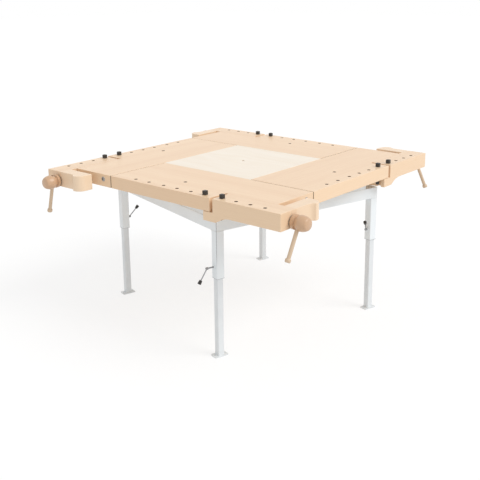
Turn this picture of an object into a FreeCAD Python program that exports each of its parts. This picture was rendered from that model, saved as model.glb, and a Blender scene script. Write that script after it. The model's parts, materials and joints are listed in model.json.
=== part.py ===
import FreeCAD, Part
import os
import Sketcher
from FreeCAD import Placement, Rotation, Vector

# Four-station woodworking bench, in millimetres.
# +Z is up, the floor is Z = 0 and the middle of the top is X = Y = 0.
# The top is four boards laid like a pinwheel round a square panel. Each board ends in a
# tail vise. Everything on one side is drawn once, for the front side, where the board runs
# along X and its outer edge faces -Y, and is turned by 90 degrees for the other three.
# The steel frame is a square of its own, turned clockwise against the top.

doc = FreeCAD.newDocument("TailViseBench")

# ------------------------------------------------------------------ driving dimensions

DIMENSIONS = (
    # the top
    ("top_height", 857.0, "floor to the board tops, as the legs are set"),
    ("panel_half", 320.0, "half the centre panel"),
    ("panel_thick", 30.0, "centre panel thickness"),
    ("panel_gap", 1.0, "gap round the centre panel"),
    ("finger_hole", 8.0, "radius of the hole in the panel"),
    ("board_width", 400.0, "width of each board"),
    ("board_thick", 68.0, "thickness of each board"),
    ("joint_gap", 5.0, "gap between a board's end and its neighbour"),
    ("edge_ease", 1.5, "chamfer on the wooden edges"),
    # dog holes
    ("dog_inset", 35.0, "dog hole centres behind the front edge"),
    ("dog_radius", 9.5, "dog hole radius"),
    ("board_dog", 58.5, "first dog hole, from the vise mouth"),
    ("board_pitch", 96.0, "pitch of the four holes next to the mouth"),
    ("far_dog", 454.5, "first of the two far holes, from the vise mouth"),
    ("far_pitch", 100.0, "pitch of the two far holes"),
    ("spare_dog_x", 309.5, "inner hole, from the vise mouth"),
    ("spare_dog_y", 154.0, "inner hole, behind the front edge"),
    ("jaw_dog", 33.5, "first dog hole in the jaw, from its clamping face"),
    ("jaw_pitch", 87.0, "pitch of the holes in the jaw"),
    # tail vise
    ("block_clear", 20.5, "cross block clear of the board's end as the jaw shuts"),
    ("mouth_open", 18.3, "opening of the vise as drawn"),
    ("arm_clear", 0.4, "arm clear of the wall of its notch"),
    ("arm_width", 118.0, "width of the jaw's arm"),
    ("jaw_thick", 84.0, "depth of the jaw"),
    ("jaw_length", 410.0, "clamping face to the outer end of the jaw"),
    ("block_width", 90.0, "cross block, along the vise"),
    ("block_end", 295.0, "inner end of the cross block, behind the front edge"),
    ("block_proud", 20.0, "cross block stands out beyond the arm's end"),
    ("block_round", 45.0, "plan radius of the cross block's corner"),
    ("scoop_end", 242.0, "end of the scoop beside the head, behind the front edge"),
    ("scoop_run", 34.6, "length of that scoop"),
    ("scoop_arc", 40.0, "plan radius of that scoop"),
    ("lip_reach", 61.5, "lip of the jaw under the board"),
    ("lip_gap", 1.5, "gap between lip and board"),
    ("hump_drop", 32.0, "hump below the jaw"),
    ("hump_run", 94.0, "length of the hump's hollow curve"),
    ("hump_end", 111.5, "clamping face to the end of that curve"),
    ("hump_arc", 154.0, "radius of that curve"),
    ("slot_clear", 12.5, "slot in the lip, beyond the board's dog as the jaw shuts"),
    ("cover_thick", 24.0, "arm's cover over the screw"),
    ("strip_width", 58.0, "arm's front strip, which holds the dogs"),
    ("channel_start", 71.5, "clamping face to the screw channel"),
    ("screw_inset", 88.0, "vise screw behind the front edge"),
    ("screw_drop", 53.0, "vise screw below the top"),
    ("screw_radius", 12.0, "vise screw"),
    ("screw_length", 288.0, "vise screw inside the jaw's outer end"),
    ("spigot", 24.0, "vise screw beyond the jaw's outer end"),
    ("collar_radius", 31.0, "thrust collar"),
    ("collar_gap", 0.5, "collar clear of the jaw"),
    ("collar_thick", 6.0, "thrust collar"),
    ("rod_radius", 8.0, "guide rods"),
    ("rod_one", 180.0, "first guide rod, behind the front edge"),
    ("rod_two", 240.0, "second guide rod, behind the front edge"),
    ("rod_drop", 46.0, "guide rods below the top"),
    ("rod_length", 320.0, "guide rods"),
    ("rod_seat", 62.0, "guide rods inside the cross block"),
    ("rod_bore", 245.0, "depth of the guide rod bores in the board"),
    ("tenon_depth", 48.0, "tenon of the cross block"),
    ("tenon_width", 50.0, "tenon, along the vise"),
    ("tenon_thick", 26.0, "tenon, up and down"),
    ("tenon_drop", 8.0, "tenon below the top"),
    # vise head and tommy bar
    ("head_radius", 38.5, "turned head"),
    ("head_collar", 36.0, "collar of the turned head"),
    ("head_neck", 28.0, "groove between collar and head"),
    ("head_length", 89.0, "jaw's outer end to the end of the head"),
    ("collar_end", 22.0, "jaw's outer end to the end of the turned collar"),
    ("groove_start", 25.0, "jaw's outer end to the bottom of the groove"),
    ("groove_end", 28.0, "jaw's outer end to where the groove turns out"),
    ("head_widest", 50.0, "jaw's outer end to the widest part of the head"),
    ("nose_start", 83.0, "jaw's outer end to where the nose begins"),
    ("nose_radius", 30.5, "head where the nose begins"),
    ("nose_flat", 25.0, "flat on the nose"),
    ("collar_ease", 2.0, "chamfers of the turned collar and the screw's tip"),
    ("swell_arc", 30.0, "profile arc from the groove to the widest part"),
    ("barrel_arc", 72.0, "profile arc from the widest part to the nose"),
    ("nose_arc", 14.0, "profile arc of the nose"),
    ("bar_place", 37.0, "tommy bar from the jaw's outer end"),
    ("bar_radius", 9.5, "tommy bar"),
    ("bar_play", 0.3, "tommy bar in its hole"),
    ("bar_seat", 20.0, "bar's top head rests this far from the axis"),
    ("bar_top", 28.5, "top of the bar from the axis"),
    ("bar_stop", 11.2, "radius of the bar's top head"),
    ("bar_low", 168.0, "knob's shoulder from the axis"),
    ("knob_length", 18.0, "knob of the tommy bar"),
    ("knob_radius", 14.0, "knob of the tommy bar"),
    ("knob_ease", 4.0, "bevel on the knob's shoulder, along the bar"),
    ("knob_bevel", 2.0, "bevel on the knob's shoulder, across the bar"),
    ("knob_round", 5.0, "rounded end of the knob, along the bar"),
    ("knob_arc", 7.0, "profile arc of the knob's end"),
    ("knob_flat", 10.0, "flat on the knob's end"),
    ("stop_ease", 1.5, "chamfer on the bar's top head"),
    # vise nut
    ("nut_place", 40.0, "inner face of the nut block, from the board's end"),
    ("nut_length", 36.0, "nut block, along the screw"),
    ("nut_depth", 47.0, "nut block, away from the flange"),
    ("nut_height", 36.0, "nut block, up and down"),
    ("flange_place", 88.0, "inner end of the nut's flange, from the board's end"),
    ("nut_screw", 68.0, "nut's screws, from the board's end"),
    ("nut_screw_high", 37.0, "upper screw of the nut below the top"),
    ("nut_screw_low", 59.0, "lower screw of the nut below the top"),
    ("flange_thick", 8.0, "nut's flange"),
    ("flange_top", 30.0, "flange's upper edge below the top"),
    ("flange_low", 66.0, "flange's lower edge below the top"),
    # frame
    ("frame_turn", 14.64, "clockwise turn of the frame, degrees"),
    ("leg_place", 518.0, "leg centres from the middle, each way"),
    ("upper_wall", 2.5, "wall of the upper leg tube"),
    ("upper_length", 245.0, "upper leg below the rail"),
    ("lower_size", 35.0, "lower leg tube"),
    ("lower_wall", 2.0, "wall of the lower leg tube"),
    ("lower_hidden", 171.0, "lower leg inside the upper leg"),
    ("tube_round", 3.0, "corner radius of the tubes"),
    ("foot_long", 80.0, "foot plate"),
    ("foot_wide", 50.0, "foot plate"),
    ("foot_thick", 5.0, "foot plate"),
    ("foot_round", 8.0, "corner radius of the foot plate"),
    ("foot_hole", 4.5, "radius of the floor bolt holes"),
    ("foot_pitch", 62.0, "spacing of the floor bolt holes"),
    ("bearer_height", 60.0, "bearers between rails and boards"),
    ("rail_height", 60.0, "rails"),
    ("rail_wall", 2.0, "wall of the rails"),
    ("bearer_width", 40.0, "bearers between rails and boards"),
    ("bearer_half", 456.0, "half the length of a bearer"),
    ("bearer_shift", 2.0, "bearer's middle towards its first leg"),
    ("sleeve_wall", 2.45, "wall of the plastic sleeve between the leg tubes"),
    ("sleeve_length", 50.0, "plastic sleeve inside the upper leg"),
    ("sleeve_lip", 3.0, "lip of the sleeve under the upper leg"),
    # clamp levers
    ("clamp_rise", 60.0, "clamp screw above the upper leg's lower end"),
    ("stud_radius", 4.0, "clamp screw"),
    ("boss_radius", 8.0, "welded nut on the leg"),
    ("boss_length", 5.0, "welded nut on the leg"),
    ("hub_clear", 1.0, "hub of the lever clear of that nut when it is screwed home"),
    ("hub_radius", 6.5, "hub of the lever"),
    ("hub_length", 12.0, "hub of the lever"),
    ("arm_radius", 3.0, "rod of the lever"),
    ("arm_length", 71.0, "rod of the lever"),
    ("arm_lean", 32.0, "rod leans away from the leg, degrees"),
    ("grip_radius", 9.5, "black grip of the lever"),
    ("grip_length", 21.0, "black grip of the lever"),
    ("grip_neck", 8.0, "radius of the grip at its lower end"),
    ("grip_cover", 6.0, "rod inside the grip"),
    # dogs and fasteners
    ("dog_shank", 100.0, "dog below the board top"),
    ("dog_head", 21.0, "square head of a dog"),
    ("dog_rise", 21.0, "height of that head"),
    ("dog_corner", 2.0, "corner radius of that head"),
    ("tie_radius", 6.0, "tie rods through the boards"),
    ("tie_inset", 58.0, "tie rods from the board's inner edge"),
    ("tie_drop", 27.0, "tie rods below the top"),
    ("tie_grip", 45.0, "tie rod in the neighbouring board"),
    ("tie_head", 13.0, "radius of the tie rod's head"),
    ("tie_dome", 5.0, "height of the tie rod's head"),
    ("ledger_width", 30.0, "ledgers under the panel"),
    ("ledger_screw_one", -200.0, "first screw of each ledger, along the board"),
    ("ledger_screw_two", 180.0, "second screw of each ledger, along the board"),
    ("coach_one", -368.0, "first coach screw of each rail, from its middle"),
    ("coach_two", -38.0, "second coach screw of each rail, from its middle"),
    ("coach_three", 382.0, "third coach screw of each rail, from its middle"),
    ("coach_radius", 4.0, "coach screws"),
    ("coach_grip", 40.0, "coach screw in the board"),
    ("coach_head", 8.0, "radius of the coach screw's head"),
    ("coach_cap", 5.5, "height of the coach screw's head"),
    ("screw_core", 2.5, "small wood screws"),
    ("screw_grip", 40.0, "small screw in the wood"),
    ("screw_head", 5.0, "radius of a small screw's head"),
    ("screw_cap", 3.0, "height of a small screw's head"),
    # fits
    ("run_fit", 0.05, "radial clearance of a running fit"),
    ("screw_fit", 0.2, "radial clearance round a through screw"),
)

sheet = doc.addObject("Spreadsheet::Sheet", "Dims")
for row, (alias, size, note) in enumerate(DIMENSIONS, 1):
    sheet.set(f"A{row}", alias)
    sheet.set(f"B{row}", str(size))
    sheet.set(f"C{row}", note)
    sheet.setAlias(f"B{row}", alias)
doc.recompute()


class Cells:
    """Names of the sheet's cells, as they are written in an expression."""

    def __getattr__(self, alias):
        return f"Dims.{alias}"


c = Cells()

# Places that several pieces share, as expressions on the sheet.
OUTER = f"({c.panel_half} + {c.board_width})"
BOARD_LOW = f"({c.top_height} - {c.board_thick})"
JAW_LOW = f"({c.top_height} - {c.jaw_thick})"
NOTCH = f"({OUTER} - {c.arm_width} - {c.arm_clear})"
BLOCK_HELD = f"({c.block_width} - {c.block_proud})"
MOUTH = f"({OUTER} + {c.block_clear} + {BLOCK_HELD} - {c.jaw_length})"
JAW_FACE = f"({MOUTH} + {c.mouth_open})"
JAW_END = f"({JAW_FACE} + {c.jaw_length})"
BLOCK = f"({JAW_END} - {BLOCK_HELD})"
ARM_BACK = f"({OUTER} - {c.arm_width})"
BLOCK_Y = f"({OUTER} - {c.block_end})"
SCREW_Y = f"({OUTER} - {c.screw_inset})"
SCREW_Z = f"({c.top_height} - {c.screw_drop})"
ROD_Z = f"({c.top_height} - {c.rod_drop})"
DOG_Y = f"({OUTER} - {c.dog_inset})"
TIE_Y = f"({c.panel_half} + {c.tie_inset})"
ROD_PLACES = (f"({OUTER} - {c.rod_one})", f"({OUTER} - {c.rod_two})")
NUT_SCREW_X = f"({OUTER} - {c.nut_screw})"
NUT_SCREW_DROPS = (c.nut_screw_high, c.nut_screw_low)
LEDGER_SCREWS = (c.ledger_screw_one, c.ledger_screw_two)
COACH_PLACES = (c.coach_one, c.coach_two, c.coach_three)
LEDGER_HEIGHT = f"({c.board_thick} - {c.panel_thick})"
LEDGER_Z = f"({BOARD_LOW} + {LEDGER_HEIGHT} / 2)"
TENON_X = f"({BLOCK} + ({BLOCK_HELD} - {c.tenon_width}) / 2)"
TENON_Z = f"({c.top_height} - {c.tenon_drop} - {c.tenon_thick})"
RAIL_TOP = f"({BOARD_LOW} - {c.bearer_height})"
RAIL_LOW = f"({RAIL_TOP} - {c.rail_height})"
UPPER_END = f"({RAIL_LOW} - {c.upper_length})"
LOWER_LENGTH = f"({UPPER_END} + {c.lower_hidden} - {c.foot_thick})"
CLAMP_HEIGHT = f"({UPPER_END} + {c.clamp_rise})"
TURN = f"({c.frame_turn} * 1deg)"
SLEEVE_BORE = f"({c.lower_size} + 2 * {c.run_fit})"
UPPER_HOLLOW = f"({SLEEVE_BORE} + 2 * {c.sleeve_wall})"
UPPER_SIZE = f"({UPPER_HOLLOW} + 2 * {c.upper_wall})"
RAIL_OUTER = f"({c.leg_place} + {UPPER_SIZE} / 2)"

SIDES = (("front", 0), ("right", 90), ("back", 180), ("left", 270))
# How far each tommy bar hangs off the vertical, in degrees.
BAR_TILT = {"front": 28, "right": 25, "back": 20, "left": 15}
# Legs in the frame's own square: the clamp screws of the first two point to -Y and
# those of the others to +Y. The last two numbers turn the lever from upright, towards +X,
# and say how much longer its screw is than the shortest, in millimetres.
LEGS = (
    ("front", 1, -1, 0, 183, 31.5),
    ("right", 1, 1, 0, 32, 0.0),
    ("back", -1, 1, 180, -28, 0.0),
    ("left", -1, -1, 180, -23, 0.0),
)

TOUCH = 0.001                       # points nearer than this are one
PROBES = 12                         # points looked at round an edge
PROBE_REACH = 0.1                   # their distance from it

kept = []
cuts = []


# ------------------------------------------------------------------ helpers

def value(formula):
    """The number that an expression on the sheet gives now."""
    return float(sheet.evalExpression(str(formula)))


def bind(thing, formulas):
    """Bind properties of an object to expressions."""
    for name, formula in formulas.items():
        thing.setExpression(name, str(formula))
    return thing


def turned(degrees):
    """A turn about the bench's vertical axis."""
    return Placement(Vector(), Rotation(Vector(0, 0, 1), degrees))


FRAME = turned(-value(c.frame_turn))


def in_top(x, y):
    """Expressions, in the top's axes, for a point given in the frame's axes."""
    return (
        f"(({x}) * cos({TURN}) + ({y}) * sin({TURN}))",
        f"(({y}) * cos({TURN}) - ({x}) * sin({TURN}))",
    )


def keep(thing, label, placement=None):
    """Name a finished sub-part after its file and put it in its place."""
    thing.Label = label
    if placement is not None:
        thing.Placement = placement
    kept.append(thing)
    return thing


def box(x, y, z, length, width, height):
    """A block from its low corner and its sizes, all expressions."""
    block = doc.addObject("Part::Box", "Block")
    return bind(block, {
        "Placement.Base.x": x, "Placement.Base.y": y, "Placement.Base.z": z,
        "Length": length, "Width": width, "Height": height,
    })


AXIS_TURN = {
    "+Z": Rotation(),
    "+X": Rotation(Vector(0, 1, 0), 90),
    "+Y": Rotation(Vector(1, 0, 0), -90),
    "-Y": Rotation(Vector(1, 0, 0), 90),
}


def cylinder(axis, x, y, z, radius, length):
    """A cylinder from the centre of its first end, along one axis."""
    rod = doc.addObject("Part::Cylinder", "Rod")
    rod.Placement = Placement(Vector(), AXIS_TURN[axis])
    return bind(rod, {
        "Placement.Base.x": x, "Placement.Base.y": y, "Placement.Base.z": z,
        "Radius": radius, "Height": length,
    })


def fuse(*shapes):
    joined = doc.addObject("Part::MultiFuse", "Joined")
    joined.Shapes = list(shapes)
    return joined


def cut(base, *tools):
    """The base less its tools."""
    less = doc.addObject("Part::Cut", "Less")
    less.Base = base
    less.Tool = tools[0] if len(tools) == 1 else fuse(*tools)
    cuts.append((less, base))
    return less


def group(*shapes):
    """Separate solids that share one node."""
    solids = doc.addObject("Part::Compound", "Group")
    solids.Links = list(shapes)
    return solids


def sketch_on(body, role, offset="0"):
    """A sketch parallel to one of the body's own planes, moved along the plane's normal.

    The normals are +Z for XY_Plane, -Y for XZ_Plane and +X for YZ_Plane.
    """
    sketch = body.newObject("Sketcher::SketchObject", "Sketch")
    plane = next(item for item in body.Origin.OriginFeatures if item.Role == role)
    sketch.AttachmentSupport = [(plane, "")]
    sketch.MapMode = "FlatFace"
    sketch.setExpression("AttachmentOffset.Base.z", str(offset))
    return sketch


def pin_point(sketch, geometry, corner, x, y):
    """Tie one point of a sketch to expressions for its two coordinates."""
    for kind, formula in (("DistanceX", x), ("DistanceY", y)):
        rule = Sketcher.Constraint(kind, -1, 1, geometry, corner, value(formula))
        index = sketch.addConstraint(rule)
        sketch.setExpression(f"Constraints[{index}]", str(formula))


def pin_radius(sketch, geometry, radius):
    index = sketch.addConstraint(Sketcher.Constraint("Radius", geometry, value(radius)))
    sketch.setExpression(f"Constraints[{index}]", str(radius))


def add_circle(sketch, x, y, radius):
    centre = Vector(value(x), value(y), 0)
    circle = sketch.addGeometry(Part.Circle(centre, Vector(0, 0, 1), value(radius)), False)
    pin_point(sketch, circle, 3, x, y)
    pin_radius(sketch, circle, radius)


def add_outline(sketch, points, arcs=None):
    """A closed outline through points given as pairs of expressions.

    arcs maps the number of a point to (radius, side) for the run that leaves it. The arc
    bulges to the run's right where side is 1, and to its left where side is -1.
    """
    arcs = arcs or {}
    first = sketch.GeometryCount
    ends = [Vector(value(x), value(y), 0) for x, y in points]
    for number, start in enumerate(ends):
        stop = ends[(number + 1) % len(ends)]
        if number in arcs:
            radius, side = arcs[number]
            run = stop - start
            right = Vector(run.y, -run.x, 0).normalize()
            rise = value(radius) - (value(radius) ** 2 - (run.Length / 2) ** 2) ** 0.5
            middle = (start + stop) / 2 + right * (side * rise)
            shape = Part.Arc(start, middle, stop)
        else:
            shape = Part.LineSegment(start, stop)
        sketch.addGeometry(shape, False)
    for number, (x, y) in enumerate(points):
        before = first + (number - 1) % len(points)
        here = first + number
        # An arc that bulges to the right runs counter-clockwise, so it keeps its ends.
        before_end = 1 if arcs.get((number - 1) % len(points), (0, 1))[1] < 0 else 2
        here_start = 2 if arcs.get(number, (0, 1))[1] < 0 else 1
        sketch.addConstraint(
            Sketcher.Constraint("Coincident", before, before_end, here, here_start))
        pin_point(sketch, here, here_start, x, y)
    for number, (radius, side) in arcs.items():
        pin_radius(sketch, first + number, radius)


def add_rectangle(sketch, x, y, length, height):
    add_outline(sketch, (
        (x, y), (f"{x} + {length}", y),
        (f"{x} + {length}", f"{y} + {height}"), (x, f"{y} + {height}"),
    ))


def pad(body, sketch, length, reverse=False):
    feature = body.newObject("PartDesign::Pad", "Pad")
    feature.Profile = sketch
    feature.Reversed = reverse
    bind(feature, {"Length": length})
    doc.recompute()
    return feature


def pocket(body, sketch, depth, reverse=False):
    """Cut against the sketch's normal, or along it where reverse is set."""
    before = body.Tip
    feature = body.newObject("PartDesign::Pocket", "Pocket")
    feature.Profile = sketch
    feature.Reversed = reverse
    bind(feature, {"Length": depth})
    doc.recompute()
    cuts.append((feature, before))
    return feature


def is_outer(shape, edge):
    """True for an edge with less than half of the space round it inside the solid."""
    middle = (edge.FirstParameter + edge.LastParameter) / 2
    run = edge.tangentAt(middle)
    side = run.cross(Vector(1, 2, 3)).normalize()
    inside = 0
    for probe in range(PROBES):
        reach = Rotation(run, 360 * probe / PROBES).multVec(side) * PROBE_REACH
        if shape.isInside(edge.valueAt(middle) + reach, TOUCH, True):
            inside += 1
    return inside < PROBES / 2


def ease(body, size, axis="z", joint=None):
    """Chamfer the body's outer edges so far, less those of the face that another piece joins.

    That face is square to the axis, and joint is its place along it.
    """
    base = body.Tip
    names = []
    for number, edge in enumerate(base.Shape.Edges, 1):
        places = [getattr(vertex.Point, axis) for vertex in edge.Vertexes]
        joined = joint is not None and max(abs(at - value(joint)) for at in places) < TOUCH
        if not joined and is_outer(base.Shape, edge):
            names.append(f"Edge{number}")
    feature = body.newObject("PartDesign::Chamfer", "Ease")
    feature.Base = (base, names)
    bind(feature, {"Size": size})
    doc.recompute()
    return feature


def round_upright(body, radius, low_length):
    """Round the upright edges that are longer than low_length."""
    base = body.Tip
    names = []
    for number, edge in enumerate(base.Shape.Edges, 1):
        ends = [vertex.Point for vertex in edge.Vertexes]
        if len(ends) == 2 and edge.Length > low_length:
            if (ends[0] - ends[1]).cross(Vector(0, 0, 1)).Length < TOUCH:
                names.append(f"Edge{number}")
    feature = body.newObject("PartDesign::Fillet", "Round")
    feature.Base = (base, names)
    bind(feature, {"Radius": radius})
    doc.recompute()
    return feature


def new_body(name):
    return doc.addObject("PartDesign::Body", name)


# ------------------------------------------------------------------ the top

def make_board(side, angle):
    """A board with its notch, dog holes and the bores for rods and screws."""
    body = new_body(f"Board_{side}")
    start = f"({c.joint_gap} - {c.panel_half})"
    outline = sketch_on(body, "XY_Plane", BOARD_LOW)
    add_outline(outline, (
        (start, f"-{OUTER}"), (MOUTH, f"-{OUTER}"), (MOUTH, f"-{NOTCH}"),
        (OUTER, f"-{NOTCH}"), (OUTER, f"-{c.panel_half}"), (start, f"-{c.panel_half}"),
    ))
    pad(body, outline, c.board_thick)
    ease(body, c.edge_ease)

    holes = sketch_on(body, "XY_Plane", c.top_height)
    for step in range(4):
        place = f"{MOUTH} - {c.board_dog} - {step} * {c.board_pitch}"
        add_circle(holes, place, f"-{DOG_Y}", c.dog_radius)
    for step in range(2):
        place = f"{MOUTH} - {c.far_dog} - {step} * {c.far_pitch}"
        add_circle(holes, place, f"-{DOG_Y}", c.dog_radius)
    add_circle(holes, f"{MOUTH} - {c.spare_dog_x}", f"{c.spare_dog_y} - {OUTER}", c.dog_radius)
    pocket(body, holes, c.board_thick)

    coach = sketch_on(body, "XY_Plane", BOARD_LOW)
    own = [(place, f"-{c.leg_place}") for place in COACH_PLACES[1:]]
    neighbour = [(c.leg_place, COACH_PLACES[0])]
    for place in own + neighbour:
        add_circle(coach, *in_top(*place), f"{c.coach_radius} + {c.run_fit}")
    pocket(body, coach, c.coach_grip, reverse=True)

    ends = sketch_on(body, "YZ_Plane", OUTER)
    for place in ROD_PLACES:
        add_circle(ends, f"-{place}", ROD_Z, f"{c.rod_radius} + {c.run_fit}")
    pocket(body, ends, c.rod_bore)

    tie = sketch_on(body, "YZ_Plane", OUTER)
    add_circle(tie, f"-{TIE_Y}", f"{c.top_height} - {c.tie_drop}",
               f"{c.tie_radius} + {c.run_fit}")
    pocket(body, tie, f"{OUTER} + {c.panel_half}")

    insert = sketch_on(body, "XZ_Plane", c.panel_half)
    add_circle(insert, TIE_Y, f"{c.top_height} - {c.tie_drop}",
               f"{c.tie_radius} + {c.run_fit}")
    pocket(body, insert, c.tie_grip, reverse=True)

    ledger = sketch_on(body, "XZ_Plane", c.panel_half)
    for place in LEDGER_SCREWS:
        add_circle(ledger, place, LEDGER_Z, f"{c.screw_core} + {c.run_fit}")
    pocket(body, ledger, c.screw_grip, reverse=True)

    nut = sketch_on(body, "XZ_Plane", NOTCH)
    for drop in NUT_SCREW_DROPS:
        add_circle(nut, NUT_SCREW_X, f"{c.top_height} - {drop}",
                   f"{c.screw_core} + {c.run_fit}")
    pocket(body, nut, c.screw_grip)
    keep(body, f"board_{side}", turned(angle))


def make_panel():
    """The square panel in the middle, with a hole to lift it by."""
    body = new_body("Panel")
    half = f"({c.panel_half} - {c.panel_gap})"
    outline = sketch_on(body, "XY_Plane", f"{c.top_height} - {c.panel_thick}")
    add_rectangle(outline, f"-{half}", f"-{half}", f"2 * {half}", f"2 * {half}")
    pad(body, outline, c.panel_thick)
    ease(body, c.edge_ease)
    hole = sketch_on(body, "XY_Plane", c.top_height)
    add_circle(hole, "0", "0", c.finger_hole)
    pocket(body, hole, c.panel_thick)
    keep(body, "centre_panel")


def make_ledgers():
    """Strips screwed to the boards' inner edges, which carry the panel."""
    strips = []
    for side, angle in SIDES:
        strip = box(f"-{c.panel_half}", f"-{c.panel_half}", BOARD_LOW,
                    f"2 * {c.panel_half} - {c.ledger_width}", c.ledger_width, LEDGER_HEIGHT)
        holes = [cylinder("+Y", place, f"-{c.panel_half} - 1", LEDGER_Z,
                          f"{c.screw_core} + {c.run_fit}", f"{c.ledger_width} + 2")
                 for place in LEDGER_SCREWS]
        drilled = cut(strip, *holes)
        drilled.Placement = turned(angle)
        strips.append(drilled)
    keep(group(*strips), "panel_ledgers")


# ------------------------------------------------------------------ tail vises

def make_arm(side, angle):
    """The jaw's long arm: dog holes, hump and lip, and the open channel for the screw."""
    body = new_body(f"Arm_{side}")
    lip_end = f"({JAW_FACE} - {c.lip_reach})"
    hump_low = f"({JAW_LOW} - {c.hump_drop})"
    curve_end = f"({JAW_FACE} + {c.hump_end})"
    lip_top = f"({BOARD_LOW} - {c.lip_gap})"
    profile = sketch_on(body, "XZ_Plane", OUTER)
    add_outline(profile, (
        (JAW_FACE, c.top_height), (JAW_FACE, lip_top), (lip_end, lip_top),
        (lip_end, hump_low), (f"{curve_end} - {c.hump_run}", hump_low),
        (curve_end, JAW_LOW), (JAW_END, JAW_LOW), (JAW_END, c.top_height),
    ), {4: (c.hump_arc, -1)})
    pad(body, profile, c.arm_width, reverse=True)
    ease(body, c.edge_ease, "y", f"-{ARM_BACK}")

    channel = sketch_on(body, "XY_Plane", f"{c.top_height} - {c.cover_thick}")
    add_rectangle(channel, f"({JAW_FACE} + {c.channel_start})", f"({c.strip_width} - {OUTER})",
                  f"({c.jaw_length} - {BLOCK_HELD} - {c.channel_start})",
                  f"({c.arm_width} - {c.strip_width})")
    pocket(body, channel, f"{c.jaw_thick} + {c.hump_drop}")

    slot = sketch_on(body, "XY_Plane", BOARD_LOW)
    slot_half = f"({c.dog_radius} + {c.lip_gap} * 2)"
    slot_length = f"({c.lip_reach} - {c.board_dog} + {c.dog_radius} + {c.slot_clear})"
    add_rectangle(slot, lip_end, f"(-{DOG_Y} - {slot_half})", slot_length, f"2 * {slot_half}")
    pocket(body, slot, f"{c.jaw_thick} + {c.hump_drop} - {c.board_thick}")

    holes = sketch_on(body, "XY_Plane", c.top_height)
    for step in range(4):
        place = f"{JAW_FACE} + {c.jaw_dog} + {step} * {c.jaw_pitch}"
        add_circle(holes, place, f"-{DOG_Y}", c.dog_radius)
    pocket(body, holes, f"{c.jaw_thick} + {c.hump_drop}")

    bore = sketch_on(body, "YZ_Plane", JAW_END)
    add_circle(bore, f"-{SCREW_Y}", SCREW_Z, f"{c.screw_radius} + {c.run_fit}")
    pocket(body, bore, BLOCK_HELD)

    mortise = sketch_on(body, "XZ_Plane", ARM_BACK)
    add_rectangle(mortise, TENON_X, TENON_Z, c.tenon_width, c.tenon_thick)
    pocket(body, mortise, c.tenon_depth, reverse=True)
    keep(body, f"vise_arm_{side}", turned(angle))


def make_block(side, angle):
    """The jaw's cross block, tenoned into the arm.

    Its outer face is flush with the arm's end beside the head. A scoop leads from there to
    the part that stands proud, which ends in a rounded corner.
    """
    body = new_body(f"Block_{side}")
    scoop_end = f"({OUTER} - {c.scoop_end})"
    proud = f"({JAW_END} + {c.block_proud})"
    plan = sketch_on(body, "XY_Plane", JAW_LOW)
    add_outline(plan, (
        (BLOCK, f"-{ARM_BACK}"), (JAW_END, f"-{ARM_BACK}"),
        (JAW_END, f"(-{scoop_end} - {c.scoop_run})"), (proud, f"-{scoop_end}"),
        (proud, f"(-{BLOCK_Y} - {c.block_round})"),
        (f"({proud} - {c.block_round})", f"-{BLOCK_Y}"), (BLOCK, f"-{BLOCK_Y}"),
    ), {2: (c.scoop_arc, -1), 4: (c.block_round, 1)})
    pad(body, plan, c.jaw_thick)
    ease(body, c.edge_ease, "y", f"-{ARM_BACK}")
    tenon = sketch_on(body, "XZ_Plane", ARM_BACK)
    add_rectangle(tenon, TENON_X, TENON_Z, c.tenon_width, c.tenon_thick)
    pad(body, tenon, c.tenon_depth)
    seats = sketch_on(body, "YZ_Plane", BLOCK)
    for place in ROD_PLACES:
        add_circle(seats, f"-{place}", ROD_Z, c.rod_radius)
    pocket(body, seats, c.rod_seat, reverse=True)
    keep(body, f"vise_cross_block_{side}", turned(angle))


def make_rods(side, angle):
    """Two steel rods, fast in the cross block, that slide in the board's end."""
    start = f"({BLOCK} + {c.rod_seat} - {c.rod_length})"
    rods = [cylinder("+X", start, f"-{place}", ROD_Z, c.rod_radius, c.rod_length)
            for place in ROD_PLACES]
    keep(group(*rods), f"vise_guide_rods_{side}", turned(angle))


def screw_axis(angle, tilt):
    """Place of a piece drawn with the screw's axis on X and the jaw's end face at X = 0."""
    seat = Placement(Vector(value(JAW_END), -value(SCREW_Y), value(SCREW_Z)),
                     Rotation(Vector(1, 0, 0), tilt))
    return turned(angle).multiply(seat)


def make_screw(side, angle, tilt):
    """The steel vise screw with its thrust collar."""
    body = new_body(f"Screw_{side}")
    profile = sketch_on(body, "XZ_Plane")
    collar_end = f"({c.collar_gap} + {c.collar_thick})"
    tip = f"({c.screw_radius} - {c.collar_ease})"
    add_outline(profile, (
        (f"-{c.screw_length}", "0"), (c.spigot, "0"), (c.spigot, c.screw_radius),
        (collar_end, c.screw_radius), (collar_end, c.collar_radius),
        (c.collar_gap, c.collar_radius), (c.collar_gap, c.screw_radius),
        (f"({c.collar_ease} - {c.screw_length})", c.screw_radius),
        (f"-{c.screw_length}", tip),
    ))
    revolve(body, profile, "X_Axis")
    keep(body, f"vise_screw_{side}", screw_axis(angle, tilt))


def revolve(body, sketch, role):
    """Turn a profile about one of the body's own axes."""
    feature = body.newObject("PartDesign::Revolution", "Revolution")
    feature.Profile = sketch
    axis = next(item for item in body.Origin.OriginFeatures if item.Role == role)
    feature.ReferenceAxis = (axis, [""])
    feature.Angle = 360
    doc.recompute()
    return feature


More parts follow.
